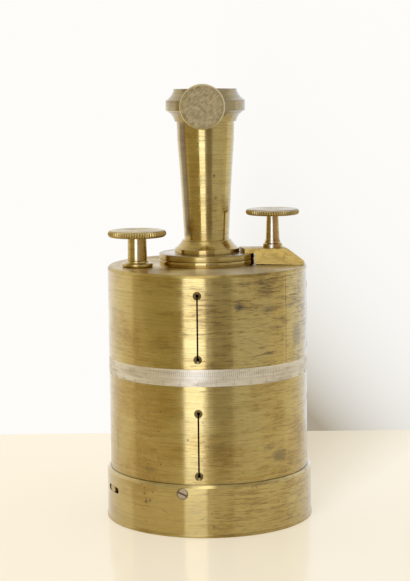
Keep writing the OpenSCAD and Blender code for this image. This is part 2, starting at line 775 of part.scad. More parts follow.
module needle_blade() {
    waist = cap_r + 1.2;
    outline = [[needle_l, 0], [waist, 2.6], [-waist, 2.6], [-needle_l, 0], [-waist, -2.6], [waist, -2.6]];
    color(blue) at_azimuth(needle_turn) difference() {
        translate([0, 0, blade_z]) linear_extrude(blade_t) polygon(outline);
        translate([0, 0, blade_z - cut]) cylinder(h = blade_t + 2 * cut, r = cap_r);
    }
}

module needle_cap() {
    apex_z = pivot_tip_z - lift_travel - 0.03;
    top_z = blade_z + blade_t + 0.05;
    outline = [[0, chamber_z + 0.05], [1.2, chamber_z + 0.05], [cap_r + 0.5, blade_z - 0.5],
        [cap_r + 0.5, blade_z], [cap_r, blade_z], [cap_r, top_z], [1.55, top_z], [0.14, apex_z], [0, apex_z]];
    color(brass) rotate_extrude() polygon(outline);
}

compass_lid();
sighting_tube();
degree_band();
gear_plate();
ring_gear();
gear_screws();
spindle();
spindle_washer();
spindle_nut();
compass_box();
box_screws();
compass_floor();
compass_rose();
dial_ring();
needle_pivot();
lever_nut();
compass_glass();
glass_bezel();
fixed_tube();
end_plate();
vernier_band();
bearing_plate();
socket_seat();
seat_screws();
pinion_bush();
clamp_boss();
clamp_dowel();
staff_socket();
socket_washer();
socket_nut();
pressure_pad();
staff_knob();
staff_screw();
clamp_bar();
clamp_knob();
clamp_stud();
drive_knob();
pinion_arbor();
pinion_gear();
pinion_collar();
collar_pin();
lift_ring();
lifter_lever();
needle_blade();
needle_cap();
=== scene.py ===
from math import cos, degrees, pi, radians, sin

import bmesh
import bpy
import numpy as np
from mathutils import Matrix


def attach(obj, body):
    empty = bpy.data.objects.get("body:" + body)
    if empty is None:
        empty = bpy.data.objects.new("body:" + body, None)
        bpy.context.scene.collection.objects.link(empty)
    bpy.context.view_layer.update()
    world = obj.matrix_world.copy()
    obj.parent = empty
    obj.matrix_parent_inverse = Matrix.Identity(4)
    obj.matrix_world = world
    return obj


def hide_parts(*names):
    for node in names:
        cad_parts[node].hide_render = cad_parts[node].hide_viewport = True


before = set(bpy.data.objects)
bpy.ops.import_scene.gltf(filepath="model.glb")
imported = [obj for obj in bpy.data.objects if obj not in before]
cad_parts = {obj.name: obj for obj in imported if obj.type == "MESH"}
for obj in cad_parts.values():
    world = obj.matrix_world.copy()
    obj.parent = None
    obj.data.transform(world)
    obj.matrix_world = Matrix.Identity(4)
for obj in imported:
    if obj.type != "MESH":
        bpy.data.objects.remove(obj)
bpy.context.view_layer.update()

# Compass lid. A thin turned brass disc with a skirt that slips into the compass box. The
# instrument stands on it, so its rim is worn bright and its corner is rounded.
# Lengths here are millimetres; an azimuth is counted from the side with the staff screw.


def rounded(corners, steps=6):
    """A profile from corners of (radius, height) or (radius, height, rounding). The path leaves
    and meets the edges at the rounding's distance from the corner, with a parabola that
    touches both edges there. A corner without a rounding stays sharp."""
    points = np.array([corner[:2] for corner in corners], float)
    t = np.linspace(0, 1, steps + 1)[:, None]
    path = []
    for here, (_, _, *size) in enumerate(corners):
        middle = points[here]
        if not size:
            path.append(middle[None])
            continue
        back, ahead = points[here - 1] - middle, points[(here + 1) % len(points)] - middle
        start = middle + back * min(size[0] / np.hypot(*back), 0.5)
        end = middle + ahead * min(size[0] / np.hypot(*ahead), 0.5)
        path.append((1 - t) ** 2 * start + 2 * t * (1 - t) * middle + t ** 2 * end)
    return np.concatenate(path)


def at(azimuth, radial=0.0, height=0.0, lying=False):
    """Origin and three axes of a place on the instrument. Standing, local z is up and x points
    outwards at the azimuth. Lying, local z points outwards, x runs round and y is up."""
    a = radians(azimuth)
    out, along, up = (sin(a), -cos(a), 0), (cos(a), sin(a), 0), (0, 0, 1)
    axes = np.array([along, up, out] if lying else [out, along, up], float)
    return np.array([radial * sin(a), -radial * cos(a), height]), axes


DRUM_AXIS = at(0)


def turned(profile, place=DRUM_AXIS, turns=256, relief=0):
    """The profile carried round local z: the point in row i and column j has the radius and the
    height i, less the relief there, turned by j equal steps of the circle."""
    angle = 2 * pi * np.arange(turns) / turns
    radius = profile[:, :1] - relief
    flat = [radius * np.cos(angle), radius * np.sin(angle), profile[:, 1:] + 0 * radius + 0 * angle]
    origin, axes = place
    return origin + np.stack(np.broadcast_arrays(*flat), -1) @ axes


def skin(grid, loop=False, marks=None):
    """Faces over a grid of points whose columns close round. Squares join each row to the next,
    in a loop also the last to the first. Otherwise triangles to the middle of each end row
    close the ends, where a row that is one point gives way to its middle. The sign of the
    enclosed volume turns the faces outwards."""
    marks = np.zeros(grid.shape[:2]) if marks is None else marks
    middles = grid[[0, -1]].mean(1)
    if not loop:
        first, last = (int(np.ptp(grid[end], 0).max() < 1e-6) for end in (0, -1))
        kept = slice(first, len(grid) - last)
        grid, marks = grid[kept], marks[kept]
    rows, columns = grid.shape[:2]
    index = np.arange(rows * columns).reshape(rows, columns)
    low, high = (index, np.roll(index, -1, 0)) if loop else (index[:-1], index[1:])
    squares = np.stack([low, np.roll(low, -1, 1), np.roll(high, -1, 1), high], -1).reshape(-1, 4)
    points = grid.reshape(-1, 3)
    values = marks.reshape(-1).astype(float)
    fans = np.zeros((0, 3), int)
    if not loop:
        ends = [np.full(columns, len(points)), np.full(columns, len(points) + 1)]
        fans = np.concatenate([
            np.stack([ends[0], np.roll(index[0], -1), index[0]], 1),
            np.stack([ends[1], index[-1], np.roll(index[-1], -1)], 1)])
        points = np.concatenate([points, middles])
        values = np.append(values, [values[0], values[-1]])
    three = np.concatenate([squares[:, :3], squares[:, [0, 2, 3]], fans])
    a, b, c = (points[three[:, k]] for k in range(3))
    if np.einsum("ij,ij->i", a, np.cross(b, c)).sum() < 0:
        squares, fans = squares[:, ::-1], fans[:, ::-1]
    return points, squares.tolist() + fans.tolist(), values


def placed(name, data):
    """A new object in the scene."""
    made = bpy.data.objects.new(name, data)
    bpy.context.collection.objects.link(made)
    return made


def piece(name, skins, body, finish, stands_for, crease=32):
    """One object from one or more closed skins, in metres and in place, with smooth faces that
    stay sharp where they meet at more than the crease angle. The skins' marks, where a surface
    is sunk or waxed, become the attribute "ruled"."""
    points, faces, values, count = [], [], [], 0
    for part, squares, marks in skins:
        points.append(part)
        values.append(marks)
        faces += [[count + k for k in face] for face in squares]
        count += len(part)
    mesh = bpy.data.meshes.new(name)
    mesh.from_pydata((np.concatenate(points) / 1000).tolist(), [], faces)
    if any(marks.any() for marks in values):
        mark = mesh.attributes.new("ruled", "FLOAT", "POINT")
        mark.data.foreach_set("value", np.concatenate(values).astype(np.float32))
    mesh.shade_smooth()
    mesh.set_sharp_from_angle(angle=radians(crease))
    mesh.materials.append(finish)
    made = placed(name, mesh)
    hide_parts(*stands_for)
    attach(made, body)


class Wire:
    """A value on its way through a finish. The operators add Math nodes."""

    def __init__(self, finish, socket):
        self.finish, self.socket = finish, socket

    def __add__(self, other):
        return self.finish.maths("ADD", self, other)

    def __sub__(self, other):
        return self.finish.maths("SUBTRACT", self, other)

    def __rsub__(self, other):
        return self.finish.maths("SUBTRACT", other, self)

    def __mul__(self, other):
        return self.finish.maths("MULTIPLY", self, other)

    def __truediv__(self, other):
        return self.finish.maths("DIVIDE", self, other)

    def __rtruediv__(self, other):
        return self.finish.maths("DIVIDE", other, self)

    def __pow__(self, other):
        return self.finish.maths("POWER", self, other)

    def __abs__(self):
        return self.finish.maths("ABSOLUTE", self)

    __radd__, __rmul__ = __add__, __mul__


class Finish:
    """The nodes of one finish, or of the room. Places on a piece are in millimetres."""

    def __init__(self, name, world=None):
        self.data = world or bpy.data.materials.new(name)
        self.data.use_nodes = True
        self.tree = self.data.node_tree
        self.tree.nodes.clear()

    def node(self, kind, settings=(), sockets=(), out=0):
        """A new node: its settings first, then a value or a link for each named socket."""
        made = self.tree.nodes.new("ShaderNode" + kind)
        for key, value in dict(settings).items():
            setattr(made, key, value)
        for key, value in dict(sockets).items():
            if isinstance(value, Wire):
                self.tree.links.new(value.socket, made.inputs[key])
            else:
                made.inputs[key].default_value = value
        return Wire(self, made.outputs[out]) if made.outputs else None

    def maths(self, step, first, second=0.0):
        return self.node("Math", {"operation": step}, {0: first, 1: second})

    def vector(self, step, first, second=(0, 0, 0), out=0):
        return self.node("VectorMath", {"operation": step}, {0: first, 1: second}, out)

    def join(self, x, y, z):
        return self.node("CombineXYZ", (), {0: x, 1: y, 2: z})

    def split(self, point):
        return [self.node("SeparateXYZ", (), {0: point}, k) for k in range(3)]

    def place(self):
        """The point of the piece, in millimetres, with its three coordinates."""
        point = self.vector("MULTIPLY", self.node("TexCoord", out="Object"), (1000, 1000, 1000))
        return point, self.split(point)

    def azimuth(self, x, y):
        return self.maths("ARCTAN2", x, y * -1) * degrees(1)

    def noise(self, point, scale=1.0, detail=3.0, rough=0.5):
        return self.node("TexNoise", {"noise_dimensions": "3D"}, {
            "Vector": point, "Scale": scale, "Detail": detail, "Roughness": rough})

    def fade(self, value, low, high):
        """0 below low and 1 above high, with a smooth step between, or the other way round."""
        return self.node("MapRange", {"interpolation_type": "SMOOTHSTEP"}, {
            "Value": value, "From Min": low, "From Max": high})

    def mix(self, mask, under, over):
        """The colour under, covered by the colour over where the mask is 1."""
        sockets = {0: mask}
        for key, colour in ((6, under), (7, over)):
            sockets[key] = colour if isinstance(colour, Wire) else (*colour, 1)
        return self.node("Mix", {"data_type": "RGBA"}, sockets, 2)

    def bump(self, height, depth):
        """A bump whose full height is depth millimetres."""
        return self.node("Bump", (), {
            "Strength": 1.0, "Distance": depth / 1000, "Height": height})

    def done(self, shader):
        self.node("OutputMaterial", (), {0: shader})
        return self.data

    def metal(self, colour, roughness, relief, more=()):
        """The finish of a metal, with further sockets by name."""
        return self.done(self.node("BsdfPrincipled", (), {
            "Base Color": colour, "Roughness": roughness, "Normal": relief,
            "Metallic": 1.0, **dict(more)}))


def beside(f, point, azimuth, height, radius):
    """How far a point lies round, above and outside of a spot on a turned surface."""
    centre, (along, _, out) = at(azimuth, radius, height, lying=True)
    away = f.vector("SUBTRACT", point, tuple(centre))
    return [f.vector("DOT_PRODUCT", away, tuple(axis), "Value") for axis in (along, (0, 0, 1), out)]


def stain(f, point, azimuth, height, radius, wide, tall):
    """How far a point is inside a stain: 1 at its middle and 0 outside of an ellipsoid with
    the half width, the half height and 6 mm of depth, whose edge a noise makes ragged."""
    across, above, behind = beside(f, point, azimuth, height, radius)
    across, above, behind = across / wide, above / tall, behind / 6
    size = (across * across + above * above + behind * behind) ** 0.5
    ragged = f.noise(point, 1.1, 3) - 0.5
    return f.fade(size + ragged * 0.9, 1.05, 0.35)


LIGHT_BRASS = (0.58, 0.43, 0.135)
GOLD_BRASS = (0.50, 0.33, 0.075)
OLIVE_BRASS = (0.30, 0.215, 0.065)
BROWN_TARNISH_AND_SHADE = (0.13, 0.08, 0.03)
GREY_STAIN = (0.12, 0.085, 0.05)


def brass(name, place=DRUM_AXIS, age=0.5, polish=0.22, streaky=0.4, turning=0.12, coat=0.6,
          stains=(), scratches=(), masks=()):
    """Old lacquered brass, turned in a lathe: fine rings round the place's own z, thin dark
    streaks round the drum, most of them on its right, golden and brown clouds and pin-point
    pits. Age makes it more golden, polish is its roughness where clean, and turning is how
    dull the rings are. By the radius of the surface, stains are (azimuth, height, half width,
    half height, strength) and scratches (azimuth, height, half length, half width, slope).
    Masks are (function of finish, x, y and z that says where, colour, dullness)."""
    f = Finish(name)
    point, (x, y, z) = f.place()
    origin, axes = place
    away = f.vector("SUBTRACT", point, tuple(origin))
    along = f.vector("DOT_PRODUCT", away, tuple(axes[2]), "Value")
    aside = f.vector("LENGTH", f.vector("CROSS_PRODUCT", away, tuple(axes[2])), out="Value")
    ring = along + aside * 0.73
    rings = f.noise(f.join(x * 0.02, y * 0.02, ring * 2.6), 1, 3, 0.7)
    patchy = f.fade(f.noise(f.join(x * 0.01, y * 0.01, ring * 0.22), 1, 2, 0.5), 0.42, 0.62)
    streaks = f.noise(f.join(x * 0.07, y * 0.07, z * 0.9), 1, 5, 0.7)
    dashes = f.noise(f.join(x * 0.26, y * 0.26, z * 3.4), 1, 4, 0.65)
    clouds = f.noise(point, 0.05, 4, 0.6)
    mottle = f.noise(point, 0.5, 4, 0.65)
    dots = f.node("TexVoronoi", (), {"Vector": point, "Scale": 0.4})
    specks = f.fade(dots + mottle * 0.2, 0.24, 0.16) * f.fade(clouds, 0.5, 0.56)
    right = f.fade(x * 0.6 - y * 0.3, -6, 22)
    streak = f.fade(streaks * 0.5 + dashes * 0.5 + clouds * 0.4, 0.71, 0.8)
    streak = streak * (right * 0.75 + 0.25) * streaky
    gold = f.fade(clouds * 0.6 + streaks * 0.4 + (age - 0.5) * 0.3, 0.42, 0.6)
    brown = f.fade(clouds * 0.5 + mottle * 0.5 + (age - 0.5) * 0.3, 0.55, 0.68)
    colour = f.mix(gold, LIGHT_BRASS, GOLD_BRASS)
    colour = f.mix(brown * 0.4, colour, OLIVE_BRASS)
    colour = f.mix(f.fade(dashes, 0.5, 0.62) * (right * 0.4 + 0.15), colour, OLIVE_BRASS)
    colour = f.mix(streak, colour, BROWN_TARNISH_AND_SHADE)
    colour = f.mix(f.fade(rings, 0.45, 0.7) * 0.38, colour, OLIVE_BRASS)
    colour = f.mix(specks * 0.8, colour, BROWN_TARNISH_AND_SHADE)
    dull = streak * 0.12 + brown * 0.1 + specks * 0.2 + patchy * f.fade(rings, 0.3, 0.6) * turning
    for radius, rows in dict(stains).items():
        for azimuth, middle, wide, tall, strength in rows:
            mask = stain(f, point, azimuth, middle, radius, wide, tall)
            colour = f.mix(mask * strength, colour, GREY_STAIN)
            dull = dull + mask * 0.1
    height = rings * 0.5 + mottle * 0.15 - specks
    for radius, rows in dict(scratches).items():
        for azimuth, middle, long, wide, slope in rows:
            run, rise, _ = beside(f, point, azimuth, middle, radius)
            rise = rise - run * slope
            near = f.fade(abs(run), long, long * 0.6) * f.fade(abs(rise), wide, wide * 0.3)
            colour = f.mix(near * 0.7, colour, BROWN_TARNISH_AND_SHADE)
            height = height - near * 2
    for mask, tint, more in masks:
        cover = mask(f, x, y, z)
        colour = f.mix(cover, colour, tint)
        dull = dull + cover * more
    return f.metal(colour, dull + polish, f.bump(height, 0.01), {
        "Anisotropic": 0.85, "Anisotropic Rotation": 0.25,
        "Coat Weight": coat, "Coat Roughness": 0.14})


LID_R, LID_T, SKIRT_R, SKIRT_WALL, SKIRT_H = 41.8, 1.1, 39.6, 1.05, 1.8
lid_profile = rounded([
    (0, 0), (LID_R, 0, 0.35), (LID_R, LID_T, 0.3), (SKIRT_R, LID_T),
    (SKIRT_R, LID_T + SKIRT_H, 0.2), (SKIRT_R - SKIRT_WALL, LID_T + SKIRT_H, 0.2),
    (SKIRT_R - SKIRT_WALL, LID_T, 0.1), (0, LID_T)])
lid_brass = brass("lid_brass", age=0.56, polish=0.26)
piece("lid_disc", [skin(turned(lid_profile))], "lid", lid_brass, ["compass_lid"])

# Compass box. The turned brass collar round the foot of the lower drum, bevelled at the top
# and held by three screws. The lifter's slot is milled through its wall.
DRUM_R, BOX_R, BOX_TOP = 40.0, 41.5, 20.5
BOX_SCREW_TURN, BOX_SCREW_Z, BOX_SCREW_R = -14.6, 17.16, 2.05
DIRT = (0.075, 0.045, 0.02)


def dress(node, finish):
    """Puts a finish on the CAD solid of that name, in all of its material slots."""
    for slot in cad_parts[node].material_slots:
        slot.material = finish


def box_dirt(f, x, y, z):
    """Dirt in the corner between the box and the drum and in a ring round the front screw."""
    radius = (x * x + y * y) ** 0.5
    corner = f.fade(radius, DRUM_R + 0.45, DRUM_R + 0.15)
    corner = corner * f.fade(z, BOX_TOP - 0.6, BOX_TOP - 0.3) * 0.6
    _, (along, _, _) = at(BOX_SCREW_TURN, BOX_R, BOX_SCREW_Z, lying=True)
    across, above = x * along[0] + y * along[1], z - BOX_SCREW_Z
    ring = abs((across * across + above * above) ** 0.5 - (BOX_SCREW_R + 0.1))
    return f.maths("MAXIMUM", corner, f.fade(ring, 0.28, 0.12) * f.fade(y, 0.0, -5.0) * 0.6)


box_brass = brass(
    "box_brass", age=0.3, polish=0.14, streaky=0.35, coat=0.9, masks=[(box_dirt, DIRT, 0.3)],
    stains={BOX_R: [
        (-36.7, 12.8, 1.0, 1.2, 0.6), (-34, 13.3, 0.8, 1.0, 0.55), (-37.6, 15.7, 0.5, 0.6, 0.6),
        (-8, 10.5, 3.4, 2.2, 0.2), (1.2, 9.6, 0.4, 0.5, 0.6), (2.2, 4.4, 0.5, 0.5, 0.6)]},
    scratches={BOX_R: [
        (-3.1, 7.8, 1.6, 0.22, 0.4), (-24, 9.5, 2.2, 0.12, -0.6), (30, 12, 3, 0.12, 0.2)]})
dress("compass_box", box_brass)

# Box screws. Three steel cheese heads, a third of a turn apart and flush with the box. Each
# has a sawn slot, and brown dirt in the slot and round its rim.
BOX_SCREW_FACE, SCREW_HEAD_T, SLOT_HALF, SLOT_DEPTH = 41.54, 1.0, 0.3, 0.6


def steel(name, tint=(0.42, 0.41, 0.39), polish=0.3, dirt=0.4):
    """Steel gone grey, with brushed lines, brown spots of rust and dark slots."""
    f = Finish(name)
    slot = f.node("Attribute", {"attribute_name": "ruled"}, (), "Fac")
    point, (x, y, z) = f.place()
    grain = f.noise(f.join(x * 0.4, y * 0.4, z * 6), 1, 4, 0.6)
    rust = f.fade(f.noise(point, 0.5, 5, 0.65), 0.52, 0.68)
    colour = f.mix(f.fade(grain, 0.35, 0.7) * 0.35, tint, tuple(part * 0.6 for part in tint))
    colour = f.mix(rust * dirt, colour, (0.16, 0.09, 0.05))
    colour = f.mix(slot * 0.72, colour, (0.06, 0.035, 0.012))
    dull = rust * 0.25 + grain * 0.1 + polish
    return f.metal(colour, dull, f.bump(grain - rust * 0.5, 0.01))


def slotted(place, tilt):
    """A screw head. Across the head runs s from -1 to 1, and each s has one loop of points: up
    the chord of length 2 root(1 - s s) on the face and back down on the underside. The face
    is lower where s is inside the slot; the whole head is turned by the tilt."""
    edge = np.cos(np.linspace(pi, pi / 2 + 0.25, 9))
    half = SLOT_HALF / BOX_SCREW_R
    s = np.concatenate([edge, [-half - 0.02, -half, half, half + 0.02], -edge[::-1]])
    sunk = np.concatenate([np.zeros(10), [SLOT_DEPTH, SLOT_DEPTH], np.zeros(10)])[:, None]
    t = np.concatenate([np.linspace(-1, 1, 9), np.linspace(1, -1, 9)])
    face = np.arange(len(t)) < len(t) // 2
    chord = np.sqrt(np.maximum(1 - s * s, 1e-6))[:, None]
    x, y = BOX_SCREW_R * s[:, None] + 0 * t, BOX_SCREW_R * chord * t
    z = np.where(face, -sunk, -SCREW_HEAD_T)
    turn = radians(tilt)
    origin, axes = place
    flat = np.stack([x * cos(turn) - y * sin(turn), x * sin(turn) + y * cos(turn), z], -1)
    dirt = np.maximum(sunk / SLOT_DEPTH, np.abs(t) == 1)
    return skin(origin + flat @ axes, marks=np.where(face, dirt, 0))


heads = [slotted(at(BOX_SCREW_TURN + 120 * k, BOX_SCREW_FACE, BOX_SCREW_Z, lying=True), 68 + 50 * k)
         for k in range(3)]
screw_steel = steel("screw_steel", tint=(0.49, 0.38, 0.225), dirt=0.8)
piece("box_screw_heads", heads, "sighting_drum", screw_steel, ["box_screws"])

# Lower drum. A drawn brass tube with four sights, each a fine saw cut between two dished
# peep holes; it turns under the upper drum. Lathe polish has left faint rings on it.
CROSS_TURN, PEEP_DISH_R = -5.7, 1.7
LOW_PEEPS = 23.85, 48.45


def sight_dirt(f, x, y, z, heights):
    """A mask for the dishes of the peep holes at both heights: a point is in one where its
    distance from the hole's axis, taken round the drum and up, is less than the dish's
    radius. The angle is folded into an eighth of a turn either side of a sight."""
    turn = f.maths("ARCTAN2", x, y * -1) - radians(CROSS_TURN)
    turn = f.node("Math", {"operation": "WRAP"}, {0: turn, 1: pi / 4, 2: -pi / 4})
    rise = f.maths("MINIMUM", *[abs(z - height) for height in heights])
    away = ((turn * DRUM_R) ** 2.0 + rise * rise) ** 0.5
    return f.fade(away, PEEP_DISH_R + 0.05, PEEP_DISH_R - 0.15) * 0.6


def low_dirt(f, x, y, z):
    """Dirt in the dishes and in the corner over the compass box."""
    corner = f.fade(z, BOX_TOP + 0.45, BOX_TOP + 0.1) * 0.6
    return f.maths("MAXIMUM", sight_dirt(f, x, y, z, LOW_PEEPS), corner)


low_brass = brass(
    "lower_drum_brass", polish=0.21, streaky=0.3, masks=[(low_dirt, DIRT, 0.3)],
    stains={DRUM_R: [
        (-27.5, 48.7, 0.45, 0.45, 0.8), (-11.6, 38.2, 0.5, 0.5, 0.8), (-3.3, 44.9, 0.4, 0.4, 0.7),
        (43.9, 29.6, 5.5, 3.2, 0.5), (36.4, 33.6, 3.4, 1.6, 0.35), (-64.8, 33.6, 1.2, 7, 0.3),
        (-36, 25.5, 5, 1.2, 0.2)]},
    scratches={DRUM_R: [
        (20, 52, 5, 0.12, 0.1), (-42, 44, 4, 0.1, -0.5), (60, 40, 4, 0.14, 0.3)]})
dress("sighting_tube", low_brass)

# Degree band. A silvered ring let into the top of the lower drum and divided all round:
# a line for each degree, longer ones at fives and tens, and a figure at every ten.
BAND_LOW, BAND_HIGH, BAND_R, BAND_BORE, BAND_TURN = 58.94, 62.85, 40.0, 39.23, 4.3
LINE_W, LINE_DEPTH, FIGURE_H, FIGURE_Z = 0.1, 0.04, 1.25, 60.05


def line_columns(lines, half, foot):
    """Four columns of points for each line (azimuth, length), in the order rim, floor, floor,
    rim: the floor reaches half degrees and the rims foot degrees from the line's middle."""
    azimuth = (lines[:, :1] + np.array([-foot, -half, half, foot])).ravel()
    order = np.argsort(azimuth)
    floor = np.tile([False, True, True, False], len(lines))[order]
    return np.radians(azimuth[order]), floor, np.repeat(lines[:, 1], 4)[order]


def ruled_band(edge, far, lines):
    """A ring whose outer face carries sunk lines that start at the edge height and run towards
    the far one. The radius is less by the depth of a line between the middle two of its four
    columns, for as many rows as it is long. Each length, below 0 too, adds two rows."""
    side, reach = np.sign(far - edge), abs(far - edge)
    half = degrees(LINE_W / 2 / BAND_R)
    azimuth, floor, length = line_columns(lines, half, 1.3 * half)
    ends = [[size, size + 0.02] for size in np.unique(lines[:, 1])]
    steps = np.unique(np.concatenate([[0.06, reach - 0.06], *ends]))
    steps = steps[steps < reach]
    rise = edge + side * np.concatenate([[0], steps, [reach]])
    sunk = floor & (rise[:, None] * side <= edge * side + length + 0.005)
    outer = BAND_R - LINE_DEPTH * sunk
    outer[[0, -1]] -= 0.06
    height = np.concatenate([rise, rise[-1:], rise[:1]])[:, None]
    radius = np.concatenate([outer, np.full((2, len(azimuth)), BAND_BORE)])
    marks = np.concatenate([sunk, np.zeros((2, len(azimuth)), bool)])
    grid = [radius * np.sin(azimuth), -radius * np.cos(azimuth), height + 0 * radius]
    return skin(np.stack(grid, -1), True, marks)


def silvered(name, ground=(0.78, 0.68, 0.47), polish=0.42):
    """Silvered brass, yellowed by age, with brushed lines and dark wax in the divisions."""
    f = Finish(name)
    point, (x, y, z) = f.place()
    brush = f.noise(f.join(x * 0.06, y * 0.06, z * 3), 1, 4, 0.7)
    clouds = f.noise(f.join(x * 0.09, y * 0.09, z * 0.5), 1, 5, 0.6)
    patch = f.fade(clouds, 0.42, 0.68)
    ruled = f.node("Attribute", {"attribute_name": "ruled"}, (), "Fac")
    colour = f.mix(patch * 0.55, ground, (0.47, 0.37, 0.23))
    colour = f.mix(f.fade(brush, 0.45, 0.75) * 0.35, colour, (0.34, 0.27, 0.17))
    colour = f.mix(ruled * 0.7, colour, (0.12, 0.09, 0.06))
    dull = patch * 0.08 + ruled * 0.2 + polish
    return f.metal(colour, dull, f.bump(brush, 0.006), {
        "Metallic": 0.62 - ruled * 0.3, "Anisotropic": 0.7, "Anisotropic Rotation": 0.25})


def lettered(word, size):
    """The flat outline of a plain figure, filled and given a hair's thickness."""
    curve = bpy.data.curves.new("figure", "FONT")
    curve.body, curve.size, curve.align_x = word, size, "CENTER"
    curve.extrude, curve.resolution_u = 0.02, 2
    holder = placed("figure", curve)
    shown = holder.evaluated_get(bpy.context.evaluated_depsgraph_get())
    flat = bpy.data.meshes.new_from_object(shown)
    points = np.empty(len(flat.vertices) * 3)
    flat.vertices.foreach_get("co", points)
    faces = [list(face.vertices) for face in flat.polygons]
    bpy.data.objects.remove(holder)
    bpy.data.meshes.remove(flat)
    return points.reshape(-1, 3), faces


def wrapped(word, azimuth):
    """A figure bent round the band, upside down: its x becomes an angle, x over the radius."""
    points, faces = lettered(word, FIGURE_H)
    radius = BAND_R - 0.01
    a = radians(azimuth) - points[:, 0] / radius
    out = radius + points[:, 2]
    bent = np.stack([out * np.sin(a), -out * np.cos(a), FIGURE_Z - points[:, 1]], 1)
    return bent, faces, np.full(len(bent), 0.7)


degree = np.arange(360)
long_line = np.where(degree % 10 == 0, 2.5, np.where(degree % 5 == 0, 2.1, 1.6))
band = ruled_band(BAND_HIGH, BAND_LOW, np.stack([degree + BAND_TURN, long_line], 1))
figures = [wrapped(str((360 - k) % 360), k + BAND_TURN) for k in range(0, 360, 10)]
piece("degree_ring", [band] + figures, "sighting_drum", silvered("degree_silver"),
      ["degree_band"], crease=25)

# Inside the lower drum. The gear plate carries the toothed ring that the pinion drives, six
# screws hold the ring, and the steel spindle of the joint runs through the middle.
inner_brass = brass("inner_brass", age=0.62, polish=0.38)
inner_steel = steel("inner_steel")
for node in ("gear_plate", "ring_gear", "spindle_nut", "bearing_plate", "clamp_boss",
             "socket_nut", "pinion_collar"):
    dress(node, inner_brass)
for node in ("gear_screws", "spindle", "spindle_washer", "seat_screws", "clamp_dowel",
             "socket_washer", "clamp_stud", "pinion_arbor", "pinion_gear", "collar_pin",
             "staff_screw", "lever_nut", "needle_pivot"):
    dress(node, inner_steel)

# Compass. A brass floor with a silvered rose and a divided ring, a blued steel needle on its
# pivot under glass, and the lifter that presses the needle against the glass.
DIAL_OUT, DIAL_IN, DIAL_LOW, DIAL_HIGH, DIAL_LINE_DEPTH = 37.17, 33.4, 7.6, 10.6, 0.06
NORTH_TURN, RAY_LONG, RAY_SHORT, OUTER_CIRCLE, INNER_CIRCLE = 24.0, 30.0, 21.0, 31.6, 12
NEEDLE_L, NEEDLE_W, NEEDLE_LOW, NEEDLE_T, NEEDLE_BORE = 32.4, 2.6, 7.2, 0.38, 1.9

dress("compass_floor", inner_brass)
dress("lift_ring", inner_brass)
dress("lifter_lever", brass("lever_brass", age=0.7, polish=0.36))
dress("glass_bezel", brass("bezel_brass", age=0.45, polish=0.26))


def dial():
    """The divided ring. Its rows run inwards over the lower face, which carries the lines, then
    round the inner corner and back over the upper face."""
    step = np.where(degree % 10 == 0, 2.2, np.where(degree % 5 == 0, 1.7, 1.2))
    turn, floor, length = line_columns(np.stack([degree, step], 1), 0.11, 0.16)
    inwards = DIAL_OUT - np.array([0, 0.3, 1.2, 1.22, 1.7, 1.72, 2.2, 2.22])
    radius = np.append(inwards, [DIAL_IN + 0.1, DIAL_IN, DIAL_IN, DIAL_OUT])[:, None]
    row = np.arange(len(radius))[:, None]
    sunk = floor & (DIAL_OUT - radius <= length + 0.005) & (row < 8)
    height = np.where(row < 9, DIAL_LOW, DIAL_HIGH) + DIAL_LINE_DEPTH * sunk
    height[9] = DIAL_LOW + 0.1
    grid = np.stack([radius * np.sin(turn), -radius * np.cos(turn), height], -1)
    return skin(grid, True, sunk)


def laid(word, azimuth):
    """A figure lying flat under the dial, its foot towards the middle, to be read from below."""
    points, faces = lettered(word, 1.5)
    origin, (out, along, up) = at(azimuth, DIAL_IN + 0.25, DIAL_LOW - 0.005)
    flat = origin + points[:, :1] * -along + points[:, 1:2] * out - points[:, 2:] * up
    return flat, [face[::-1] for face in faces], np.ones(len(flat))


dial_figures = [laid(str(k), k + NORTH_TURN) for k in range(0, 360, 30)]
dial_silver = silvered("dial_silver", ground=(0.72, 0.66, 0.52), polish=0.4)
piece("dial_circle", [dial()] + dial_figures, "sighting_drum",
      dial_silver, ["dial_ring"], crease=25)


def rose_finish():
    """A silvered card with an eight-pointed star. A point is in the star where its distance
    from the middle is less than a length that falls off with the angle to the nearest ray."""
    f = Finish("rose_silver")
    point, (x, y, z) = f.place()
    clouds = f.noise(point, 0.12, 5, 0.6)
    turn = radians(NORTH_TURN)
    ahead = x * sin(turn) - y * cos(turn)
    aside = x * cos(turn) + y * sin(turn)
    angle = f.maths("ARCTAN2", aside, ahead)
    radius = (x * x + y * y) ** 0.5
    inside = 0.0
    for reach, shift in ((RAY_LONG, 0.0), (RAY_SHORT, pi / 4)):
        near = f.node("Math", {"operation": "WRAP"}, {0: angle + shift, 1: pi / 4, 2: -pi / 4})
        near = abs(near)
        across = radius * f.maths("SINE", near)
        along = radius * f.maths("COSINE", near)
        ray = f.fade(across - (reach - along) * (3.2 / reach), 0.06, -0.06)
        inside = f.maths("MAXIMUM", inside, ray)
    circle = f.fade(abs(radius - OUTER_CIRCLE), 0.16, 0.08)
    circle = circle + f.fade(abs(radius - INNER_CIRCLE), 0.14, 0.07)
    colour = f.mix(f.fade(clouds, 0.4, 0.7) * 0.5, (0.70, 0.66, 0.56), (0.55, 0.47, 0.33))
    colour = f.mix(inside * 0.8, colour, (0.10, 0.085, 0.07))
    colour = f.mix(circle, colour, (0.10, 0.085, 0.07))
    return f.metal(colour, clouds * 0.2 + 0.35, f.bump(clouds - inside, 0.02),
                   {"Metallic": 1.0 - inside * 0.7})


dress("compass_rose", rose_finish())


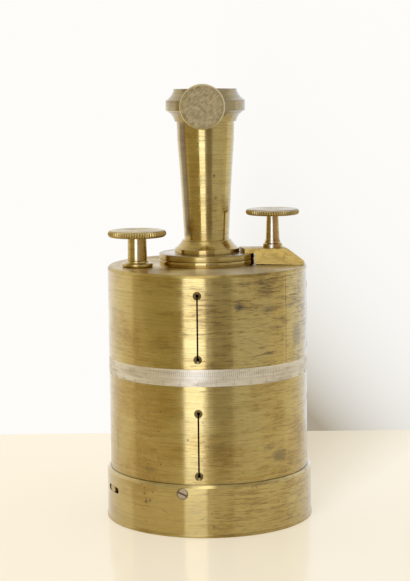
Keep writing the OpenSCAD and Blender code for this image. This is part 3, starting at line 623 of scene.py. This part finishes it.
def needle_steel():
    """Blued steel for the north half and bare steel for the south half, with a grown grain."""
    f = Finish("needle_steel")
    point, (x, y, z) = f.place()
    turn = radians(NORTH_TURN)
    north = f.fade(x * sin(turn) - y * cos(turn), 2.9, 3.1)
    grain = f.noise(f.join(x * 0.5, y * 0.5, z * 8), 1, 4)
    bare = f.mix(grain, (0.40, 0.40, 0.40), (0.30, 0.29, 0.27))
    blued = f.mix(grain, (0.03, 0.06, 0.20), (0.07, 0.06, 0.16))
    return f.metal(f.mix(north, bare, blued), grain * 0.15 + 0.2, f.bump(grain, 0.01))


def blade():
    """A ring round the cap whose outer rim is the lozenge: the width at a direction is where
    that direction meets the lozenge, and the lower face rises towards the rim."""
    angle = 2 * pi * np.arange(128) / 128
    rim = 1 / (np.abs(np.cos(angle)) / NEEDLE_L + np.abs(np.sin(angle)) / NEEDLE_W)
    part = np.linspace(0, 1, 7)[:, None]
    radius = NEEDLE_BORE + 0.02 + np.maximum(rim - NEEDLE_BORE, 0.3) * part
    low = NEEDLE_LOW + 0.12 * part + 0 * rim
    radius = np.concatenate([radius, radius[::-1]])
    height = np.concatenate([low, np.full_like(low, NEEDLE_LOW + NEEDLE_T)])
    grid = np.stack([radius * np.cos(angle), radius * np.sin(angle), height], -1)
    return skin(grid @ at(NORTH_TURN)[1], True)


piece("needle_lozenge", [blade()], "needle", needle_steel(),
      ["needle_blade"])
dress("needle_cap", brass("cap_brass", age=0.4))


def clear_glass():
    """Old flat glass with a film of dust and a few fine smears."""
    f = Finish("compass_glass_clear")
    point, _ = f.place()
    film = f.noise(point, 0.15, 5, 0.6)
    return f.done(f.node("BsdfPrincipled", (), {
        "Base Color": f.mix(film, (0.97, 0.985, 0.97), (0.90, 0.93, 0.90)),
        "Roughness": film * 0.05, "IOR": 1.5, "Transmission Weight": 1.0,
        "Normal": f.bump(film, 0.005)}))


dress("compass_glass", clear_glass())

# Upper drum. The same tube as the lower one, fixed to the staff socket's end plate. Its right
# side is the most stained part of the instrument, with streaks and one round grey blotch.
SEAM_TURN = 49.6
HIGH_PEEPS = 69.407, 94.007


def high_dirt(f, x, y, z):
    """Dirt in the dishes and along the soldered seam of the tube, where it comes and goes."""
    seam = f.fade(abs(f.azimuth(x, y) - SEAM_TURN), 0.32, 0.12)
    broken = f.fade(f.noise(f.join(0.0, 0.0, z * 0.9), 1, 3), 0.4, 0.55)
    dishes = sight_dirt(f, x, y, z, HIGH_PEEPS)
    return f.maths("MAXIMUM", dishes, seam * (broken * 0.6 + 0.25))


high_brass = brass(
    "upper_drum_brass", polish=0.19, streaky=0.75, masks=[(high_dirt, DIRT, 0.3)],
    stains={DRUM_R: [
        (17.5, 89.5, 2.6, 2.2, 0.7), (17.8, 89.3, 1.1, 1.0, 0.8), (37, 87.7, 4.6, 1.6, 0.5),
        (53.5, 88.1, 4.2, 1.0, 0.4), (40.5, 80.4, 4.4, 1.5, 0.3), (61.3, 76, 5, 6.5, 0.45),
        (31, 98.1, 1.6, 1.2, 0.35), (35.4, 70.7, 3.0, 0.9, 0.5), (31.3, 72.9, 2.0, 0.8, 0.45)]},
    scratches={DRUM_R: [
        (17.4, 84.7, 0.9, 0.2, 0.1), (33, 70.5, 7, 0.25, 0.12), (28, 75, 3, 0.1, -0.35),
        (-46, 78, 2.6, 0.1, 0.7), (47, 92, 3.5, 0.12, -0.2)]})
dress("fixed_tube", high_brass)

# Vernier band. A silvered ring at the foot of the upper drum with two verniers, one at the
# front and one opposite; each ends in a line across the whole band.
VERNIER_LOW, VERNIER_HIGH, VERNIER_FIRST, VERNIER_STEP = 62.95, 65.63, -50.4, 1.15
count = np.arange(90)
length = np.where(count % 15 == 14, 2.35, np.where(count % 5 == 4, 2.0, 1.7))
length[-1] = 2.6
front_lines = np.stack([VERNIER_FIRST + count * VERNIER_STEP, length], 1)
lines = np.concatenate([front_lines, front_lines + [180, 0]])
# Between the verniers, columns without a line keep the ring round. Their length of -1 makes
# ruled_band fold the outer face 1 mm down over the top of the degree band and back.
plain = np.arange(0, 360, 2.0) + 0.7
gap = np.abs((plain[:, None] - lines[:, 0] + 180) % 360 - 180).min(1)
plain = plain[gap > 1.0]
lines = np.concatenate([lines, np.stack([plain, np.full(len(plain), -1.0)], 1)])
lines[:, 0] %= 360
piece("vernier_ring", [ruled_band(VERNIER_LOW, VERNIER_HIGH, lines)], "fixed_drum",
      silvered("vernier_silver"), ["vernier_band"], crease=25)

# End plate. It closes the upper drum; its corner is turned to a quarter round and its top is duller
# than the drum, with a painted sheen that makes it paler.
END_Z = 102.0
PALE_BRASS = (0.62, 0.53, 0.35)


def plate_pale(f, x, y, z):
    """Painted sheen: the flat of the plate is painted paler, more on its right."""
    return f.fade(z, END_Z - 0.4, END_Z - 0.02) * (f.fade(x, -20, 12) * 0.75)


plate_brass = brass("plate_brass", age=0.6, polish=0.36, coat=0.2,
                    masks=[(plate_pale, PALE_BRASS, 0.1)])
dress("end_plate", plate_brass)

# Socket seat. The lower of the two brass discs under the socket. Screws from inside hold it
# on the end plate, and the socket's stem turns in its bore.
SEAT_TOP, FOOT_R, STEM_R = 104.3, 19.2, 8.0
SEAT_BORE = STEM_R + 0.05
seat_profile = rounded([(SEAT_BORE, END_Z, 0.1), (FOOT_R, END_Z, 0.25), (FOOT_R, SEAT_TOP, 0.3),
                        (SEAT_BORE, SEAT_TOP, 0.1)])
foot_brass = brass("foot_brass", age=0.3, polish=0.08, coat=0.9)
piece("socket_seat_disc", [skin(turned(seat_profile), True)], "fixed_drum", foot_brass,
      ["socket_seat"])

# Staff socket. Turned from one bar: a flat foot that turns on the seat, a hollow flare, a
# tube that tapers with its bore, and a moulded mouth with a cove, a square band and a cup.
# The boss of the staff screw is brazed into the band.
FOOT_LOW, FOOT_TOP, LIP_Z, STAFF_TURN, SCREW_Z = 104.35, 106.7, 172.0, -2.8, 165.24
MOUTH_R, PAD_HOLE_R, PAD_FLOOR, BOSS_R, BOSS_FROM, BOSS_END = 9.75, 3.75, 11.18, 5, 11.2, 16.8


def arc(radius, height, size, first, last, steps):
    """Points of a circular arc of a profile: its centre plus its size times the cosine and the
    sine of an angle that goes evenly from first to last, in degrees."""
    angle = np.radians(np.linspace(first, last, steps + 1))
    return np.stack([radius + size * np.cos(angle), height + size * np.sin(angle)], 1)


def pad_hole(profile, turns=256):
    """The relief of a round hole with a flat floor in the bore: inside the circle of PAD_HOLE_R
    round the screw's axis, the radius is PAD_FLOOR over the cosine of the angle from it."""
    off = 2 * pi * np.arange(turns) / turns - radians(STAFF_TURN)
    off = (off + pi) % (2 * pi) - pi
    rise = profile[:, 1:] - SCREW_Z
    bore = (np.abs(profile[:, :1] - MOUTH_R) < 0.001) & (np.abs(off) < 1)
    inside = bore & (rise ** 2 + (MOUTH_R * np.sin(off)) ** 2 < PAD_HOLE_R ** 2)
    return np.where(inside, MOUTH_R - PAD_FLOOR / np.cos(off), 0)


# In this order: stem and foot, flare, two beads and the tube, a step, the cove, the square
# band, the cup, the lip, close rows where the pad's hole is, and the rest of the bore.
socket_profile = np.concatenate([
    rounded([(6.5, 96.25), (6.5, 99.55, 0.1), (STEM_R, 99.55, 0.2), (STEM_R, FOOT_LOW, 0.05),
             (FOOT_R, FOOT_LOW, 0.3), (FOOT_R, FOOT_TOP, 0.35), (13.0, FOOT_TOP, 0.12),
             (13.0, 108.45, 0.2), (12.9, 108.55)]),
    arc(18.75, 117.39, 10.6, 236.3, 213.1, 16),
    rounded([(9.9, 111.72), (9.9, 111.85, 0.1), (9.6, 112.0, 0.15), (8.95, 112.05, 0.15),
             (10.21, 135.7, 2.0), (11.36, 152.0, 2.0), (11.46, 158.9)]),
    rounded([(11.46, 158.95), (12.35, 159.1, 0.15), (12.44, 159.4)]),
    arc(18.24, 158.0, 5.97, 166, 114.1, 22),
    rounded([(15.85, 163.5), (15.85, 163.6), (15.85, 167.45, 0.2), (15.8, 167.5)]),
    arc(18.63, 173.08, 6.245, 243, 196.9, 18),
    rounded([(12.65, 171.3), (12.65, LIP_Z, 0.3), (MOUTH_R, LIP_Z, 0.25), (MOUTH_R, 170.0)]),
    np.stack([np.full(46, MOUTH_R), np.linspace(169.9, 160.9, 46)], 1),
    rounded([(MOUTH_R, 160.0), (MOUTH_R, 152.0, 3.0), (7.35, 110.5)])])


def socket_dirt(f, x, y, z):
    """Painted shade: brown down the left and a little of the front of the tube, where it stands in
    for the dark reflections of the room; and brown round the foot.
    """
    turn = f.azimuth(x, y)
    left = f.fade(turn, -68, -62) * f.fade(turn, -42, -48) * 0.8
    front = f.fade(turn, -4, 1) * f.fade(turn, 14, 9) * 0.35
    tube = f.fade(z, 113, 115) * f.fade(z, 160, 157)
    foot = f.fade(z, FOOT_TOP - 0.2, FOOT_TOP - 0.05) * f.fade(z, FOOT_TOP + 0.5, FOOT_TOP + 0.2)
    return f.maths("MAXIMUM", f.maths("MAXIMUM", left, front) * tube, foot * 0.5)


def socket_grey(f, x, y, z):
    """Grey, greasy metal on the mouth, where the lacquer has gone."""
    grease = f.noise(f.join(x * 0.1, y * 0.1, z * 0.8), 1, 4, 0.7)
    return f.fade(z, 157, 163) * (grease * 0.5 + 0.3)


socket_brass = brass(
    "socket_brass", polish=0.15, streaky=0.25, turning=0.25,
    # The first mask paints shade: dark reflections down the tube's left and front.
    masks=[(socket_dirt, BROWN_TARNISH_AND_SHADE, 0.1), (socket_grey, (0.30, 0.26, 0.18), 0.15)],
    stains={10.3: [(18, 138, 0.5, 0.8, 0.9)], 10.0: [(23, 129, 1.2, 1.0, 0.35)],
            9.5: [(12, 119, 0.8, 1.3, 0.3)]})
boss_profile = rounded([(0, BOSS_FROM), (BOSS_R, BOSS_FROM), (BOSS_R, BOSS_END, 0.3),
                        (0, BOSS_END)])
boss = turned(boss_profile, at(STAFF_TURN, 0, SCREW_Z, lying=True), 96)
socket = turned(socket_profile, relief=pad_hole(socket_profile))
piece("staff_socket_turned", [skin(socket), skin(boss)], "socket", socket_brass,
      ["staff_socket"])
dress("pressure_pad", inner_brass)

# Staff screw head. A large milled brass head with a flat mottled face; the screw in it
# presses the pad on the staff.
HEAD_R, HEAD_AT, HEAD_T, NECK_R, NECK_AT = 8.8, 21.5, 4.0, 3.3, 19.1


def milled(profile, place, teeth, inner, depth, columns=8):
    """A turned piece with a milled rim. Round the rim the depth follows half a cosine wave per
    tooth, rounded at the crests, and it fades out between the rim and the inner radius."""
    turns = teeth * columns
    wave = 0.5 - 0.5 * np.cos(2 * pi * np.arange(turns) / columns)
    outer = profile[:, 0].max()
    share = np.clip((profile[:, :1] - inner) / (outer - inner), 0, 1) ** 0.8
    return skin(turned(profile, place, turns, depth * share * wave ** 1.4))


staff_place = at(STAFF_TURN, HEAD_AT, SCREW_Z, lying=True)
neck = HEAD_AT - NECK_AT
staff_profile = np.concatenate([
    rounded([(0, -neck), (NECK_R, -neck, 0.15), (NECK_R, 0, 0.3),
             (HEAD_R - 1.05, 0)]),
    arc(HEAD_R - 1, 1, 1, 275, 360, 6),
    arc(HEAD_R - 0.95, HEAD_T - 0.95, 0.95, 0, 85, 8),
    rounded([(HEAD_R - 1.0, HEAD_T), (HEAD_R - 1.3, HEAD_T, 0.1),
             (HEAD_R - 1.45, HEAD_T - 0.08, 0.1), (0, HEAD_T - 0.08)])])


def handled_brass():
    """The face of a head that thumbs have turned for years: grey olive, mottled and full of
    slanting scratches, with a painted highlight that makes its rim brighter."""
    f = Finish("staff_head_brass")
    point, (x, y, z) = f.place()
    scratched = f.noise(f.join((x + z) * 0.25, y * 0.2, (x - z) * 2.4), 1, 5, 0.75)
    mottle = f.noise(point, 0.7, 6, 0.75)
    centre, (_, _, out) = staff_place
    away = f.vector("SUBTRACT", point, tuple(centre))
    aside = f.vector("LENGTH", f.vector("CROSS_PRODUCT", away, tuple(out)), out="Value")
    # The rim mask paints a highlight: a paler, smoother colour round the edge.
    rim = f.fade(aside, HEAD_R - 0.75, HEAD_R - 0.45)
    colour = f.mix(f.fade(mottle, 0.35, 0.65), (0.44, 0.335, 0.15), (0.28, 0.205, 0.085))
    colour = f.mix(f.fade(scratched, 0.45, 0.62) * 0.65, colour, (0.15, 0.105, 0.045))
    colour = f.mix(rim, colour, (0.62, 0.51, 0.26))
    dull = 0.42 + mottle * 0.1 - rim * 0.15
    return f.metal(colour, dull, f.bump(scratched + mottle * 0.5, 0.03))


piece("staff_screw_head", [milled(staff_profile, staff_place, 96, HEAD_R - 0.9, 0.16)],
      "staff_clamp", handled_brass(), ["staff_knob"])

# Clamp bar. A filed brass wedge with a finger that lies on the socket's foot. Its edges are
# broken with a file and its top is worn pale.
CLAMP_TURN, CLAMP_RADIAL, BROKEN_EDGE = 84.3, 26.5, 0.3


def welded(mesh):
    """Merges the points that lie on each other, so that the faces join, dissolves the edges
    inside flat faces and drops the normals that the loose faces had."""
    work = bmesh.new()
    work.from_mesh(mesh)
    bmesh.ops.remove_doubles(work, verts=work.verts, dist=1e-6)
    bmesh.ops.dissolve_limit(work, angle_limit=radians(1), verts=work.verts, edges=work.edges)
    work.to_mesh(mesh)
    work.free()
    for name in [layer.name for layer in mesh.attributes if layer.name == "custom_normal"]:
        mesh.attributes.remove(mesh.attributes[name])


clamp_place = at(CLAMP_TURN, CLAMP_RADIAL)
bar = placed("clamp_bar_filed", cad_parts["clamp_bar"].data.copy())
welded(bar.data)
bevel = bar.modifiers.new("broken_edges", "BEVEL")
bevel.width, bevel.segments = BROKEN_EDGE / 1000, 3
bevel.limit_method, bevel.angle_limit = "ANGLE", radians(35)
bar.data.materials.clear()
bar.data.materials.append(
    brass("bar_brass", place=clamp_place, age=0.55, polish=0.36, streaky=0, coat=0.0))
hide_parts("clamp_bar")
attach(bar, "clamp_arm")

# Clamp knob. A thin milled brass head on a turned stem with a collar. Its steel stud is
# screwed into the boss under the end plate and pulls the bar down.
BAR_TOP, CLAMP_R, CLAMP_TOP, CLAMP_T = 108.45, 10.7, 124.1, 2.3
CLAMP_LOW = CLAMP_TOP - CLAMP_T


def stem_side(place, top, first, last):
    """A mask for the strip of an upright stem that faces the azimuths from first to last. The knobs
    use it for a painted highlight and a painted copper reflection on their stems.
    """
    def strip(f, x, y, z):
        turn = f.azimuth(x - float(place[0][0]), y - float(place[0][1]))
        faced = f.fade(turn, first - 6, first + 6) * f.fade(turn, last + 6, last - 6)
        return faced * f.fade(z, top, top - 0.3) * 0.75
    return strip


def clamp_pale(f, x, y, z):
    """Painted sheen: the head's upper side is painted paler."""
    return f.fade(z, CLAMP_TOP - 0.9, CLAMP_TOP - 0.3) * 0.9


clamp_profile = np.concatenate([
    rounded([(0, BAR_TOP), (3.9, BAR_TOP, 0.1), (3.95, BAR_TOP + 0.3, 0.2),
             (3.95, BAR_TOP + 1.3, 0.3), (3.7, BAR_TOP + 1.75, 0.25), (3.1, BAR_TOP + 2.1, 0.3),
             (3.05, BAR_TOP + 2.9, 0.25), (2.75, BAR_TOP + 3.3, 0.3), (2.35, CLAMP_LOW, 0.35),
             (CLAMP_R - 2.2, CLAMP_LOW)]),
    arc(CLAMP_R - CLAMP_T / 2, CLAMP_TOP - CLAMP_T / 2, CLAMP_T / 2, -85, 85, 16),
    rounded([(CLAMP_R - 1.3, CLAMP_TOP), (4.2, CLAMP_TOP - 0.02, 0.25),
             (3.9, CLAMP_TOP - 0.1, 0.15), (0, CLAMP_TOP - 0.1)])])
clamp_brass = brass("clamp_knob_brass", clamp_place, age=0.42, polish=0.27, coat=0.3, masks=[
    (clamp_pale, PALE_BRASS, 0.12),
    # Painted light on the stem: a pale highlight at the front and a copper reflection on the right.
    (stem_side(clamp_place, CLAMP_LOW, -24, 4), (0.90, 0.78, 0.62), 0.0),
    (stem_side(clamp_place, CLAMP_LOW, 12, 42), (0.48, 0.24, 0.08), 0.0)])
piece("clamp_knob_milled", [milled(clamp_profile, clamp_place, 66, CLAMP_R - 1.5, 0.3)],
      "clamp_turner", clamp_brass, ["clamp_knob"])

# Turning drive. The left knob turns the pinion inside. A turned bush with a round bead guides
# its stem; the thick head has a half-round milled rim and a shallow dish on top.
DRIVE_TURN, DRIVE_RADIAL, DRIVE_R, DRIVE_TOP, DRIVE_T = -74.0, 28.8, 11.65, 116.6, 2.7
DRIVE_LOW, DRIVE_STEM_Z = DRIVE_TOP - DRIVE_T, 104.55
BUSH_LOW, BUSH_TOP, BUSH_BORE = 97.7, 104.5, 2.05


def drive_pale(f, x, y, z):
    """Painted sheen: the head's upper side is painted paler, browner in its middle."""
    patchy = f.noise(f.join(x * 0.2, y * 0.2, z), 1, 4) * 0.8
    return f.fade(z, DRIVE_TOP - 0.9, DRIVE_TOP - 0.3) * patchy


drive_place = at(DRIVE_TURN, DRIVE_RADIAL)
bush_profile = np.concatenate([
    [[BUSH_BORE, BUSH_LOW], [3.4, BUSH_LOW], [3.4, END_Z], [5.1, END_Z]],
    arc(5.35, 102.8, 0.85, -70, 75, 16), arc(5.25, 104.4, 1.0, 255, 180, 10),
    rounded([(4.24, 104.42), (4.1, BUSH_TOP, 0.05), (BUSH_BORE, BUSH_TOP)])])
piece("pinion_bush_turned", [skin(turned(bush_profile, drive_place, 128), True)], "fixed_drum",
      brass("bush_brass", drive_place, age=0.4, polish=0.25), ["pinion_bush"])
drive_profile = np.concatenate([
    rounded([(0, DRIVE_STEM_Z), (3.88, DRIVE_STEM_Z, 0.2), (3.75, DRIVE_LOW, 0.4),
             (DRIVE_R - 2.4, DRIVE_LOW)]),
    arc(DRIVE_R - DRIVE_T / 2, DRIVE_TOP - DRIVE_T / 2, DRIVE_T / 2, -85, 85, 18),
    rounded([(DRIVE_R - 1.5, DRIVE_TOP), (5.3, DRIVE_TOP - 0.02, 0.3),
             (4.9, DRIVE_TOP - 0.12, 0.2), (0, DRIVE_TOP - 0.12)])])
drive_brass = brass("drive_knob_brass", drive_place, age=0.4, polish=0.26, coat=0.3, masks=[
    (drive_pale, PALE_BRASS, 0.12),
    # Painted light on the stem: a pale highlight at the front and a copper reflection on the right.
    (stem_side(drive_place, DRIVE_LOW, -14, 12), (0.88, 0.76, 0.52), 0.0),
    (stem_side(drive_place, DRIVE_LOW, 20, 48), (0.50, 0.29, 0.08), 0.0)])
piece("drive_knob_milled", [milled(drive_profile, drive_place, 68, DRIVE_R - 1.7, 0.36)],
      "pinion", drive_brass, ["drive_knob"])

# Table top. A cream glossy board that the instrument stands on, and not part of it. Its back
# edge is the horizon. These lengths are metres.
FLOOR_BACK, FLOOR_FRONT, FLOOR_SIDE = 0.152, -0.13, 1.2
TABLE_SHARE, MIRROR_SHARE = 0.35, 0.08


def table_top():
    """Cream lacquer. Rays that end in the camera or in the metal see it partly as a plain cream,
    as pale as the board in the photograph. The soft shadow on the right and behind grows with
    the distance inside its straight edge."""
    f = Finish("table_cream")
    point, (x, y, z) = f.place()
    clouds = f.noise(point, 0.006, 3)
    inside = y * 0.43 + 51.6 - x
    deep = f.maths("MINIMUM", f.maths("MAXIMUM", inside / 60, 0.0), 1.2)
    shade = f.fade(x, -20, 30) * f.fade(y, -30, 0) * deep
    ground = f.mix(clouds, (0.95, 0.88, 0.73), (0.92, 0.84, 0.68))
    lacquer = f.node("BsdfPrincipled", (), {
        "Base Color": f.mix(shade, ground, (0.64, 0.56, 0.38)),
        "Roughness": clouds * 0.04 + 0.1, "Normal": f.bump(clouds, 0.02)})
    cream = f.mix(shade, (1.30, 1.14, 0.83), (0.84, 0.68, 0.38))
    seen = f.node("LightPath", out="Is Camera Ray") * TABLE_SHARE
    mirrored = f.node("LightPath", out="Is Glossy Ray") * MIRROR_SHARE
    return f.done(f.node("MixShader", (), {
        0: seen + mirrored, 1: lacquer, 2: f.node("Emission", (), {0: cream, 1: 1.0})}))


table = bpy.data.meshes.new("table_top")
corners = [(-FLOOR_SIDE, FLOOR_FRONT, 0), (FLOOR_SIDE, FLOOR_FRONT, 0),
           (FLOOR_SIDE, FLOOR_BACK, 0), (-FLOOR_SIDE, FLOOR_BACK, 0)]
table.from_pydata(corners, [], [(0, 1, 2, 3)])
table.materials.append(table_top())
floor = placed("table_top", table)

# Studio. A white wall is behind the instrument and to its left; the rest of the room, which
# only the metal sees, is darker, with one tall soft lamp in front, a little to the left.
# From each azimuth of ROOM on, the room has the colour beside it, after a short ramp.
WHITE_WALL = (1.0, 0.99, 0.96)
ROOM = [(-95.5, (0.45, 0.39, 0.23)), (0, (0.62, 0.65, 0.77)), (4, (0.41, 0.39, 0.36)),
        (28, (0.65, 0.655, 0.68)), (98, (0.92, 0.97, 1.08))]
LAMP_TURN = -15
world = bpy.data.worlds.new("studio")
bpy.context.scene.world = world
sky = Finish("studio", world)
east, north, up = sky.split(sky.node("TexCoord", out="Generated"))
bearing = sky.azimuth(east, north)
room = WHITE_WALL
for edge, tint in ROOM:
    room = sky.mix(sky.fade(bearing, edge - 0.7, edge + 0.7), room, tint)
near_lamp = sky.fade(abs(bearing - LAMP_TURN), 40, 10)
ceiling = sky.mix(near_lamp, (0.60, 0.58, 0.52), (2.0, 2.1, 2.4))
room = sky.mix(sky.fade(up, 0.55, 0.85), room, ceiling)
# The wall that the camera sees is white, with a soft brown shadow low down on its right. It
# falls off by a factor of e for each step of the direction's east and up parts.
shade = sky.maths("EXPONENT", (east - 0.066) / -0.042)
shade = shade * sky.maths("EXPONENT", (up + 0.207) / -0.045)
shade = sky.maths("MINIMUM", shade, 1.0) * sky.fade(east, 0.0, 0.05)
wall = sky.mix(shade, (0.985, 0.975, 0.945), (0.40, 0.345, 0.255))
sky.node("OutputWorld", (), {0: sky.node("MixShader", (), {
    0: sky.node("LightPath", out="Is Camera Ray"),
    1: sky.node("Background", (), {0: room, 1: 1.0}),
    2: sky.node("Background", (), {0: wall, 1: 1.0})})})
# The lamp faces the instrument. Its power is its radiance times pi times its area, and its
# lengths are metres.
LAMP_AWAY, LAMP_Z, LAMP_WIDE, LAMP_TALL, LAMP_RADIANCE = 1.3, 0.3, 0.57, 2.2, 2.9
light = bpy.data.lights.new("key_lamp", "AREA")
light.shape, light.size, light.size_y = "RECTANGLE", LAMP_WIDE, LAMP_TALL
light.energy, light.color = LAMP_RADIANCE * pi * LAMP_WIDE * LAMP_TALL, (0.57, 0.66, 1.0)
lamp = placed("key_lamp", light)
lamp.matrix_world = (Matrix.Translation(tuple(at(LAMP_TURN, LAMP_AWAY, LAMP_Z)[0]))
                     @ Matrix.Rotation(radians(LAMP_TURN), 4, "Z")
                     @ Matrix.Rotation(pi / 2, 4, "X"))
lamp.visible_camera = False

# Camera. It stands two thirds of a metre in front, a little above the upper drum, looks
# slightly down and leans by less than a degree.
CAMERA_YAW, CAMERA_DOWN, CAMERA_ROLL = 0.080, 7.303, -0.644
lens = bpy.data.cameras.new("camera")
lens.lens, lens.sensor_width = 103.0, 36.0
lens.clip_start, lens.clip_end = 0.01, 20
camera = placed("camera", lens)
camera.location = (0, -0.6658, 0.1764)
camera.rotation_euler = (Matrix.Rotation(radians(CAMERA_YAW), 3, "Z")
                         @ Matrix.Rotation(radians(90 - CAMERA_DOWN), 3, "X")
                         @ Matrix.Rotation(radians(CAMERA_ROLL), 3, "Z")).to_euler()
bpy.context.scene.camera = camera
bpy.context.scene.view_settings.view_transform = "Standard"
